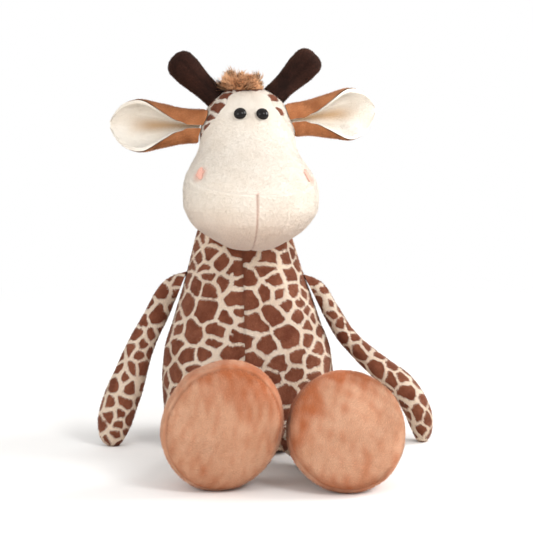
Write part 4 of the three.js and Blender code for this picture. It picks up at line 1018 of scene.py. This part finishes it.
def head_nap(places, normals):
    """The pile lies down and back from the brow, and round the muzzle."""
    p = into_head(places)
    out = p * [1, 0.5, 0] * 0.006
    return np.tile([0.0, 0.25, -1.0], (len(places), 1)) + out


NOSTRIL_SHIFT = np.array([1.6, 0, 0.6])  # the stitches lie a little beside their middle on the pattern


def nostril_blush(places):
    """Pink round the nostrils and along the chin's seam, and a breath of it low on the muzzle."""
    p = into_head(places)
    value = 0.3 * soft_step(-p[:, 2], -50, 0)
    for point, _ in nostril_places.values():
        offset = (p - point - NOSTRIL_SHIFT) * [1, 0.6, 0.6]
        value = np.maximum(value, 0.6 * (1 - soft_step(np.linalg.norm(offset, axis=1), 2.5, 7.0)))
    return np.maximum(value, 0.55 * bell(p[:, 0], 0.9) * (over_mouth(p) < 0))


def at_mouth(places):
    return np.abs(over_mouth(into_head(places))) < 0.6


def to_toy(mesh):
    """A mesh from the head's own frame to the whole toy's."""
    return placed(mesh, HEAD_TURN.T, NECK_PIVOT)


def head_print(mesh, seed, bare):
    """Small patches on the back of the head, and next to none for the first bare millimetres from the face."""
    print_here = patches(mesh, 12.0, seed, line=1.8)

    def field(places):
        return print_here(places) - 3 * (1 - soft_step(-before_seam(into_head(places)), bare * 0.6, bare * 1.5))

    return field


def build_head():
    seed = 300
    for name, mesh in head_panels().items():
        mesh = to_toy(mesh)
        seed += 10
        if "back" in name:
            slot, material = "spotted_plush", "brow"
            looks = {"spots": head_print(mesh, seed + 3, 20 if "left" in name else 0.5)}
        else:
            slot, material = "cream_plush", "cream"
            looks = {"width": 0.34, "length": 1.6, "tint": nostril_blush, "ruffle": 0.12, "parting": 0.3,
                     "faint": at_mouth}
        sewn(name, "head", slot, 0.9, mesh, material, head_nap, seed, bald=under_sewn_pieces, density=5.0,
             seam_depth=0.8, lumps=0.2, seam_reach=0.8, **looks)


build_head()


def stood(mesh, point, way):
    """A mesh drawn along +Y, stood on a point of the head in a direction, in the toy's frame."""
    way = unit(way)
    axis = np.cross(Y, way)
    turn = turned(axis, math.degrees(math.atan2(np.linalg.norm(axis), way[1])))
    return to_toy(placed(mesh, turn.T, point))


def build_eyes():
    radius = EYE_DIAMETER / 2
    # A ridged shank, then the rim and the dome
    shank, ridge, end, ridges = 1.15, 1.5, -13, 3
    pitch = 10.4 / ridges
    outline = [(shank, end)]
    for k in range(ridges):
        outline += [(ridge, end + (k + 0.5) * pitch), (shank, end + (k + 1) * pitch)]
    outline += [(ridge, 0), (ridge, EYE_SEAT_GAP * 0.6), (radius * 0.9, EYE_SEAT_GAP * 0.6),
                (radius * 0.97, EYE_SEAT_GAP)]
    outline += [(radius * math.cos(a), EYE_SEAT_GAP + 0.35 + (EYE_DOME - 0.35) * math.sin(a))
                for a in np.radians(np.arange(0, 89, 5.5))]
    for name, (point, way) in eye_places.items():
        data, faces = stood(lathe(outline, 56), point - way * 0.4, way)
        piece = make_object(f"eye_{name}_dome", data[:, :3], faces, MATERIALS["eye"])
        settle(piece, "head", f"eye_{name}")


build_eyes()


def thread(points, radius):
    """A round thread along points with rounded ends."""
    tangent = unit(np.gradient(points, axis=0))
    across = unit(np.cross(tangent, [0.13, 0.27, 0.95]))
    other = np.cross(tangent, across)
    sizes = np.ones(len(points))
    sizes[0] = sizes[-1] = 0.45
    thick = (radius * sizes)[:, None, None]
    rows = oval(points[:, None], across[:, None], other[:, None], thick, thick, 7)
    return form(rows, points[0] - tangent[0] * radius * 0.5, points[-1] + tangent[-1] * radius * 0.5)


def joined(meshes):
    """Several meshes as one."""
    shift, data, faces = 0, [], []
    for d, f in meshes:
        data.append(d)
        faces.append(f + shift)
        shift += len(d)
    return np.concatenate(data), np.concatenate(faces)


def build_nostrils():
    """Satin stitches, widest above the middle, laid on the muzzle's cover."""
    rng = np.random.default_rng(7)
    for name, (point, way) in nostril_places.items():
        level = unit(np.cross(Z, way))
        rise = np.cross(way, level)
        # Their length stands upright as seen from the front
        up = unit(rise - level * (rise[0] / level[0]) * 0.9)
        across = np.cross(up, way)
        point = point + NOSTRIL_SHIFT
        threads = []
        long, spacing, radius = NOSTRIL_SIZE[1] * 1.3, 0.46, 0.32
        for b in np.arange(-long + 0.3, long - 0.2, spacing):
            high = b / long
            half = NOSTRIL_SIZE[0] * 0.85 * (1 - abs(high - 0.1) / 1.12) ** 0.72 * rng.uniform(0.6, 1.1) + 0.2
            a = np.linspace(-half, half, 9) + rng.uniform(-0.5, 0.5)
            place = point + a[:, None] * across + (b + 0.1 * np.sin(a * 1.7 + b * 5))[:, None] * up
            share = (place[:, 2] - CHIN_RISE) / HEAD_HEIGHT
            wide, front_y, back_y, egg = head_ring(share)
            turn = np.zeros(9)
            for _ in range(8):
                turn = np.arctan2(place[:, 0] / (wide * (1 + egg * np.cos(turn))),
                                  ((front_y + back_y) / 2 - place[:, 1]) / ((back_y - front_y) / 2))
            arch = 0.3 * (1 - np.linspace(-1, 1, 9) ** 2) - 1.05
            run = head_point(share, turn) + head_normal(share, turn) * arch[:, None]
            threads.append(thread(run, radius))
        data, faces = to_toy(joined(threads))
        piece = make_object(f"nostril_{name}_stitches", data[:, :3], faces, MATERIALS["pink_thread"])
        settle(piece, "head", f"nostril_{name}")


build_nostrils()


def build_horns():
    for index, (name, (point, way)) in enumerate(horn_places.items()):
        shares = np.concatenate([np.linspace(-0.12, 0.86, 34), 0.86 + 0.139 * np.sin(np.linspace(0.12, 1.5, 12))])
        outline = [(HORN_TIP / 2 * float(between(HORN, s)), HORN_LENGTH * s) for s in shares]
        root, along = out_of_head(point), HEAD_TURN @ way
        in_head = lambda p: (p - root) @ along < -HORN_LENGTH * 0.1
        # Its seam runs up the front and down the back
        seam = past(root, unit(np.cross(along, [0.25, -1, 0.15])))
        halves = [fur_panel(f"horn_{name}_half_{side}", half, MATERIALS["horn"], all_along(along),
                            500 + 20 * index + side, density=4.6, length=2.0, width=0.42, lumps=0.4,
                            seam_depth=0.45, free_border=in_head, room=0.8, parting=0.1, ruffle=0.9)
                  for side, half in enumerate(split(stood(lathe(outline, 56), point, way), seam))]
        settle(join_pieces(f"horn_{name}_skin", halves), "head", f"horn_{name}_cover")


build_horns()


# ---- EARS ----
def ear_rows(offset, rim=None):
    """The curled leaf of an ear as open rows of places, offset across the cloth.

    A rim rolls over to its own offset.
    """
    around = 46
    shares = np.concatenate([np.linspace(-0.15, 0.9, 62), 0.9 + 0.1 * np.sin(np.linspace(0.09, math.pi / 2, 16))])
    rows = []
    for share in shares:
        curl = math.radians(float(between(EAR, share, 2)))
        radius = EAR_CUT_WIDTH * float(between(EAR, share, 1)) / 2 / curl
        flat = 0.6 + 0.4 * math.cos(curl / 2)
        # Near the root the rims are drawn together
        curl = min(curl + math.radians(9) * float(1 - soft_step(share, 0.08, 0.2)), math.radians(174))
        turn = np.linspace(-curl, curl, around)
        reach = np.full(around, radius + offset)
        if rim is not None:
            roll = np.radians([15, 40, 65, 90])
            past_reach = 0.5 + float(soft_step(share, 0.1, 0.5))
            out = offset + (rim - offset) * (1 - np.cos(roll))
            beyond = curl + past_reach * np.sin(roll) / (radius + offset)
            turn = np.concatenate([-beyond[::-1], turn, beyond])
            reach = np.concatenate([radius + out[::-1], reach, radius + out])
        rows.append(np.stack([np.full(len(turn), EAR_LENGTH * share),
                              flat * (reach * np.cos(turn) - radius * math.cos(curl / 2)), reach * np.sin(turn)], 1))
    return np.array(rows)


def sheet_mesh(rows):
    """An open grid of places as a mesh."""
    count, around = rows.shape[:2]
    u, v = np.meshgrid(np.linspace(0, 1, count), np.linspace(0, 1, around), indexing="ij")
    return with_normals(rows.reshape(-1, 3), grid_faces(count, around, (0, 0)), np.stack([u.ravel(), v.ravel()], 1))


def build_ear(index, name, cloth):
    """One of an ear's two cloths: its back or its lining."""
    lining = cloth == "lining"
    root, axes = ear_frames[name]
    mesh = sheet_mesh(ear_rows(-EAR_CLOTH - 0.1, rim=0.6) if lining else ear_rows(EAR_CLOTH - 0.2))
    if (mesh[0][:, 3:6] @ Y).sum() * (-1 if lining else 1) < 0:
        mesh = flipped(mesh)
    data, faces = placed(mesh, axes, root)
    if np.linalg.det(axes) < 0:
        faces = faces[:, ::-1].copy()
    data, faces = clip(to_toy((data, faces)), lambda p: head_gap(p) - EAR_EDGE)
    root, along, up = out_of_head(root), HEAD_TURN @ axes[0], HEAD_TURN @ axes[2]
    inside = lambda p: head_gap(p) < EAR_BARE
    share_at = lambda p: (p - root) @ along / EAR_LENGTH
    reach_at = lambda p: 1.0 + 7.0 * np.clip(share_at(p), 0, 1)
    fading = lambda p: 1 - soft_step(share_at(p), 0.5, 0.9)
    tint = lambda p: np.clip(0.16 + 0.3 * waves(p * [1, 1, 0.5], 11, 640 + index), 0, 0.55)
    if lining:
        # A darker beige wedge along the fold from the root, fading past mid-length: partly painted shade in the fold,
        # partly the lining's own warmer tone
        tint = lambda p: 0.95 * bell((p - root) @ up, reach_at(p)) * fading(p)
        # Soft ridges run along both sides of the fold
        places = data[:, :3]
        aside = np.abs((places - root) @ up) / reach_at(places)
        ridge = 1.2 * bell(aside - 1.45, 0.4) * fading(places) * soft_step(share_at(places), 0.2, 0.4)
        data, faces = with_normals(places + data[:, 3:6] * ridge[:, None], faces, data[:, 6:])
    piece = sewn(f"ear_{name}_{cloth}", None, "cream_plush" if lining else "tan_plush", None, (data, faces),
                 "lining" if lining else "tan", all_along(along), 600 + 20 * index + (not lining), density=4.0,
                 length=1.8, width=0.42, lumps=0.2, seam_depth=0.1, room=0.5, bald=inside, free_border=inside,
                 tint=tint, backing=0.35, ruffle=0.7)
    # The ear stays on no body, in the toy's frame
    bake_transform(piece)


for index, name in enumerate(SIDES):
    build_ear(index, name, "back")
    build_ear(index, name, "lining")


# ---- HAIR ----
def build_forelock():
    top = head_point(1, 0) + [FORELOCK_SHIFT, -3, -1]
    mesh = to_toy(form([oval(top + Z * 6.0 * math.sin(a), X, Y, 13 * math.cos(a), 8 * math.cos(a), 40)
                        for a in np.radians(np.arange(-30, 88, 9))]))
    middle = out_of_head(top)
    way = lambda p, n: unit((p - middle) * [1.1, 0.8, 0.4]) * 0.75 + [0, -0.1, 1.0]
    length = lambda p: 8.6 + 3.2 * waves(p, 11, 71) - 0.012 * ((p - middle)[:, 0]) ** 2
    piece = hair_piece("forelock_hair", mesh, MATERIALS["hair"], way, 700, 7600, length, 0.62, 0.75, 62)
    settle(piece, "head", "forelock")


def crest(line):
    """The backing of a mane: a low ridge along a line of places."""
    path, wide, high = Path(line), 5.2, 3.6
    rows = []
    for share in np.linspace(0, 1, 60):
        size = float(between(MANE, share))
        rows.append(oval(path.at(share), X, np.cross(path.tangent(share), X), wide * size, high * size, 22))
    return form(rows)


def build_manes():
    heights = [share * NECK_PIVOT[2] for share in NECK_MANE]
    neck = [(torso_ring(h)[0][0], torso_depth(torso_ring(h)[0][0], h, 1), h) for h in heights]
    over_neck = lambda p, n: n * 0.5 + [0, 0.9, -0.35]
    over_head = lambda p, n: n * 0.5 + unit(p - NECK_PIVOT - [0, 0, 60]) * 0.8
    length = lambda p: 6.4 + 1.3 * waves(p, 12, 72)
    for body, mesh, way, seed, count, locks in (
            ("neck", crest(neck), over_neck, 710, 6500, 120),
            ("head", to_toy(crest([head_point(share, math.pi) for share in HEAD_MANE])), over_head, 720, 8400, 170)):
        piece = hair_piece(f"{body}_mane_hair", mesh, MATERIALS["hair"], way, seed, count, length, 0.55, 0.6, locks,
                           room=2.0)
        settle(piece, "head" if body == "head" else "torso", f"{body}_mane")


build_forelock()
build_manes()


# ---- NECK BAND ----
def build_neck_band():
    """The gathered edge where the head is sewn on: a strip with fine pleats, in the seam thread's material."""
    low, high = NECK_BAND_ANGLES
    turn = turns(720)
    pleat = 0.18 * np.sin(turn * 60) + 0.1 * np.sin(turn * 23 + 1)
    rows = []
    for around in np.linspace(0, 2 * math.pi, 14, endpoint=False):
        angle = np.radians((low + high) / 2 + (high - low) / 2.2 * math.cos(around))
        radius = NECK_BALL + SEWN_GAP + 0.72 + 0.5 * math.sin(around) + pleat * (0.5 + 0.5 * math.sin(around))
        rows.append(np.stack([radius * math.cos(angle) * np.cos(turn), radius * math.cos(angle) * np.sin(turn),
                              radius * math.sin(angle) + 0 * turn], 1))
    places = (np.array(rows) + NECK_PIVOT).reshape(-1, 3)
    data, faces = facing_out(with_normals(places, grid_faces(len(rows), 720, (1, 1)), np.zeros((len(places), 2))))
    piece = make_object("neck_band_cloth", data[:, :3], faces, MATERIALS["seam_thread"])
    settle(piece, "neck", "neck_seam_band")


build_neck_band()


# ---- ARMS ----
def arm_mesh(name, shoulder):
    """An arm from its shoulder to its hand, and the path along its middle."""
    drop = SHOULDER_HEIGHT + FLOOR_CUT
    path = Path([shoulder + [SIDES[name] * drop * out, -HAND_FORWARD[name] * down, -drop * down]
                 for out, down in ARM_PATH[name]])
    rows = []
    for share in np.concatenate([np.linspace(0, 0.9, 96), 0.9 + 0.1 * np.sin(np.linspace(0.08, math.pi / 2, 12))]):
        thick = float(between(ARM, share))
        rows.append(oval(path.at(share), unit(np.cross(path.tangent(share), Y)), Y, HAND_WIDTH[name] / 2 * thick,
                         HAND_DEPTH[name] / 2 * thick, 76))
    end = rows[-1].mean(0)
    for shrink in (0.66, 0.33):
        rows.append(end + (rows[-1] - rows[-1].mean(0)) * shrink)
    return form(rows, end=end), path


def build_arms():
    for index, (name, side) in enumerate(SIDES.items()):
        body = f"arm_{name}"
        point, normal = torso_side(SHOULDER_HEIGHT, side)
        mesh, path = arm_mesh(name, point)
        mesh = clip(mesh, past(point, normal, SEWN_GAP))
        filling(f"{body}_stuffing", closed(clip(mesh, past(point, normal, NEAR_TORSO["arm_filling"]))), body)
        mesh = closed(mesh)
        at_body = lambda p: (p - point) @ normal < NEAR_TORSO["arm_pile"]
        backward = unit(np.array([0, SHOULDER_HEIGHT, -HAND_FORWARD[name]]))
        nap = all_along(unit(path.at(0.9) - path.at(0.1)))
        for face, way in (("front", -1), ("back", 1)):
            panel = clip(mesh, past(point, way * backward))
            seed = 800 + 40 * index + 10 * way
            sewn(f"{body}_{face}_panel", body, "spotted_plush", 0.7, panel, "spotted", nap, seed, density=3.2,
                 spots=patches(panel, 14, seed + 3, line=1.4), seam_depth=1.0, bald=at_body)


build_arms()


# ---- LEGS AND FEET ----
def leg_form(name):
    """A leg and its foot as one form, with the directions and places that its pieces need."""
    side, count = SIDES[name], 150
    turn = (turned(Z, FOOT_YAW[name]) @ turned(X, -FOOT_PITCH[name]) @ turned(Y, FOOT_ROLL[name]))
    across, ahead, up = turn @ X, turn @ -Y, turn @ Z
    wide, high = FOOT_WIDTH / 2, FOOT_HEIGHT[name] / 2
    widest = next(row for row in FOOT if row[1] == 1)
    middles = []
    for along, _, height in FOOT:
        reach = FOOT_LENGTH * (along - widest[0])
        drop = high * (1 - height) * up[2] + reach * ahead[2] if along < widest[0] else 0
        middles.append(ahead * reach - Z * drop)
    # Where the CAD's rings reach decides its place; it has fewer sides
    rings, coarse = ([oval(m, across, up, wide * w, high * h, sides) for m, (_, w, h) in zip(middles, FOOT)]
                     for sides in (count, 14))
    coarse = np.concatenate(coarse)
    place = np.array([FOOT_PAIR_SHIFT + side * (FEET_GAP / 2 - (side * coarse[:, 0]).min()), -FOOT_REACH[name],
                      -FLOOR_CUT - coarse[:, 2].min()])
    ankle, centre = middles[0] + place, ahead * FOOT_LENGTH * (1 - widest[0]) + place
    x = HIP_SPREAD[name]
    hip = np.array([x, torso_depth(x, HIP_HEIGHT, -1) - SEWN_GAP, HIP_HEIGHT])
    root = np.array([x, torso_depth(side * (abs(x) + HIP_SEAM_WIDTH / 2), HIP_HEIGHT, -1), HIP_HEIGHT])
    start = [oval(root, X, Z, HIP_SEAM_WIDTH / 2, HIP_SEAM_THICKNESS / 2, count)]
    for share, width, height in LEG:
        start.append(oval(hip + (ankle - hip) * share, unit(X * (1 - share) + across * share),
                          unit(Z * (1 - share) + up * share), LEG_DIAMETER / 2 * width, LEG_DIAMETER / 2 * height,
                          count))
    rings = start + [ring + place for ring in rings] + [np.tile(centre, (count, 1))]
    rows = smooth_rows(rings, 1.7, closed_end=True)
    return form(rows[:-1], end=centre), ahead, up, ankle, hip, centre


# How strongly each foot darkens toward its top and, as painted shade, toward the other foot
FOOT_DARKENING = {"left": 1.0, "right": 0.3}


def build_legs():
    for index, (name, side) in enumerate(SIDES.items()):
        body = f"leg_{name}"
        mesh, ahead, up, ankle, hip, centre = leg_form(name)
        mesh = clip(mesh, lambda p: torso_gap(p) - SEWN_GAP)
        from_seam = past(ankle + ahead * SOLE_SEAM_SHARE * FOOT_LENGTH, ahead)
        sole, rest = split(mesh, from_seam)
        upper, shin = split(rest, past(ankle, ahead))
        seed = 900 + 60 * index

        def nap_tint_and_shade(p):
            """Darker orange-brown on the foot: mottled nap, a darker top, and painted shade round it."""
            offset = p - centre
            rise = (offset @ up) / (FOOT_HEIGHT[name] / 2)
            rim = np.linalg.norm(offset - (offset @ ahead)[:, None] * ahead, axis=1) / (FOOT_WIDTH / 2)
            cloud = waves(p * [1, 1, 0.6], 22, seed + 8)
            streak = waves(p * [1, 1, 0.3], 6, seed + 9)
            high = soft_step(rise + 0.3 * cloud, 0.1, 1.15)
            # Painted shade, darkest where the feet lean together
            shade_between_feet = soft_step(-side * offset[:, 0] / FOOT_WIDTH + 0.45 * rise + 0.22 * cloud, 0.2, 0.62)
            # Painted shade low on the foot, along the sole's seam, and toward its rim in the sum below
            low = 0.35 * soft_step(-rise + 0.3 * cloud, 0.5, 1.0)
            along_seam = 0.4 * bell(from_seam(p), 1.6)
            return np.clip((0.45 + 0.3 * FOOT_DARKENING[name]) * high + 0.5 * shade_between_feet * FOOT_DARKENING[name] + low
                           + 0.3 * soft_step(rim, 0.78, 1.02) + along_seam + 0.2 * streak + 0.02, 0, 1)

        for kind, panel, nap in (("sole", sole, np.array([0.1, 0.0, 1.0])), ("upper", upper, -ahead)):
            sewn(f"foot_{name}_{kind}", body, "sole_plush", 0.9, panel, "foot", all_along(nap), seed + len(kind),
                 density=4.2, length=2.0, tint=nap_tint_and_shade, seam_depth=1.4, width=0.4, ruffle=0.8, lumps=0.5)
        # The filling and the leg's panels stay on no body, in the toy's frame
        # The filling ends before the torso and at the ankle
        inner = closed(clip(mesh, lambda p: torso_gap(p) - NEAR_TORSO["leg_filling"]))
        inner = closed(clip(inner, past(ankle, -ahead)))
        piece = filling(f"{body}_stuffing", inner, None)
        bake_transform(piece)
        for kind, way in (("top", 1), ("under", -1)):
            panel = clip(shin, past(hip, way * Z))
            piece = sewn(f"{body}_{kind}_panel", None, "spotted_plush", 0.7, panel, "spotted", all_along(-ahead),
                         seed + 30 + way, density=3.0, spots=patches(panel, 13, seed + 33 + way, line=1.4),
                         seam_depth=0.9, bald=lambda p: torso_gap(p) < NEAR_TORSO["leg_pile"])
            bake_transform(piece)


build_legs()


# ---- TAIL ----
def build_tail():
    radius = TAIL_DIAMETER / 2
    start = np.array([0, torso_depth(0, TAIL_HEIGHT, 1) + radius + SEWN_GAP, TAIL_HEIGHT])
    rest = TAIL_TUFT_DIAMETER / 2 - FLOOR_CUT
    path = Path([start + [0, TAIL_LENGTH * back, -(TAIL_HEIGHT - rest) * down] for back, down in TAIL_PATH])
    rows = [oval(path.at(share), X, np.cross(path.tangent(share), X), radius, radius, 34)
            for share in np.linspace(0, 1, 40)]
    first = path.tangent(0)
    caps = [rows[0].mean(0) + (rows[0] - rows[0].mean(0)) * math.cos(a) - first * radius * math.sin(a)
            for a in np.radians([80, 55, 30])]
    mesh = form(caps + rows, start=start - first * radius)
    sewn("tail_cover", "tail", "spotted_plush", 0.6, mesh, "spotted", all_along([0, 1.0, -0.3]), 1000, density=4.0,
         spots=patches(mesh, 9, 1003, line=1.0), lumps=0.15)
    outline = [(TAIL_TUFT_DIAMETER / 2 * size * 0.72, TAIL_TUFT_LENGTH * along * 0.8) for along, size in TAIL_TUFT]
    data, faces = placed(lathe(outline, 30), np.eye(3), path.at(1.0) + [0, 0.3, 0])
    data[:, 2] = np.maximum(data[:, 2], ROOT_FLOOR)
    way = lambda p, n: n * 0.35 + [0, 1.0, -0.1]
    length = lambda p: 8.0 + 1.5 * waves(p, 8, 73)
    piece = hair_piece("tail_tuft_hair", (data, faces), MATERIALS["dark_hair"], way, 1010, 6500, length, 0.5, 0.5, 60)
    settle(piece, "tail", "tail_tuft")


build_tail()

# ---- What stays hidden inside keeps its CAD shape ----
for name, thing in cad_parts.items():
    for word, kind in (("stuffing", "fibre"), ("pellet", "pellets"), ("washer", "washer")):
        if word in name:
            thing.data.materials.clear()
            thing.data.materials.append(MATERIALS[kind])


# ---- Floor, light and camera ----
def seen_directly(tree):
    """1 for rays from the camera and for what mirrors and glass show, else 0."""
    path = node(tree, "ShaderNodeLightPath").outputs
    some = computed(tree, "MAXIMUM", path["Is Camera Ray"], path["Is Glossy Ray"])
    return computed(tree, "MAXIMUM", some, path["Is Transmission Ray"])


def build_stage():
    """A pale floor that keeps the shadow and fades into the white background."""
    rings = [oval(0, X, Y, radius, radius, 96) for radius in (4000.0, 1500.0, 600.0, 200.0)]
    data, faces = loft(np.array(rings), end=np.zeros(3))
    if data[0, 5] < 0:
        faces = faces[:, ::-1].copy()
    material, tree, shader = new_material("pale_floor", Roughness=0.9, Specular_IOR_Level=0.1)
    direct = seen_directly(tree)
    pale = mixed(tree, noise(tree, 3), (247, 246, 244), (244, 243, 241))
    tree.links.new(mixed(tree, direct, (246, 239, 230), pale), shader.inputs["Base Color"])
    away = node(tree, "ShaderNodeVectorMath", {0: own_place(tree)}, operation="LENGTH").outputs["Value"]
    fade = computed(tree, "MULTIPLY", ranged(tree, away, 0.35, 0.9, 0, 1), direct)
    white = node(tree, "ShaderNodeEmission", {"Color": (1, 1, 1, 1), "Strength": 1.0})
    mix = node(tree, "ShaderNodeMixShader", {0: fade, 1: shader.outputs[0], 2: white.outputs[0]})
    tree.links.new(mix.outputs[0], tree.nodes["Material Output"].inputs["Surface"])
    make_object("stage_floor", data[:, :3], faces, material)


def build_light():
    world = bpy.data.worlds.new("studio")
    bpy.context.scene.world = world
    world.use_nodes = True
    tree = world.node_tree
    background = tree.nodes["Background"]
    background.inputs["Color"].default_value = (1, 1, 1, 1)
    tree.links.new(ranged(tree, seen_directly(tree), 0, 1, 0.84, 1.0), background.inputs["Strength"])
    # Each lamp's name, place, aim, size and power
    for name, place, aim, size, power in (
        ("key", (0.9, -1.15, 1.15), (0, -0.05, 0.15), 0.5, 11.5), ("rim", (1.25, 0.15, 0.75), (0, 0, 0.15), 0.6, 14),
        ("fill", (-1.2, -1.3, 0.75), (0, -0.05, 0.15), 1.0, 10)):
        lamp = bpy.data.lights.new(name, "AREA")
        lamp.size, lamp.energy = size, power
        thing = bpy.data.objects.new(name, lamp)
        bpy.context.scene.collection.objects.link(thing)
        back = unit(np.array(place) - np.array(aim))
        side = unit(np.cross(Z, back))
        pose = np.eye(4)
        pose[:3, :3] = np.stack([side, np.cross(back, side), back], 1)
        pose[:3, 3] = place
        thing.matrix_world = Matrix(pose.tolist())


# The camera in pixels of the photograph: its size, focal length and how far the horizon is above the middle
PHOTO_SIZE, FOCAL_LENGTH, HORIZON = 533, 1646, 214.5


def build_camera():
    camera = bpy.data.cameras.new("camera")
    camera.sensor_width, camera.lens = 36.0, 36.0 * FOCAL_LENGTH / PHOTO_SIZE
    camera.clip_start, camera.clip_end = 0.01, 50
    thing = bpy.data.objects.new("camera", camera)
    bpy.context.scene.collection.objects.link(thing)
    thing.location = (0.0146, -1.3, 0.312)
    thing.rotation_euler = (math.pi / 2 - math.atan(HORIZON / FOCAL_LENGTH), 0, 0)
    bpy.context.scene.camera = thing


build_stage()
build_light()
build_camera()
bpy.context.scene.view_settings.view_transform = "Standard"
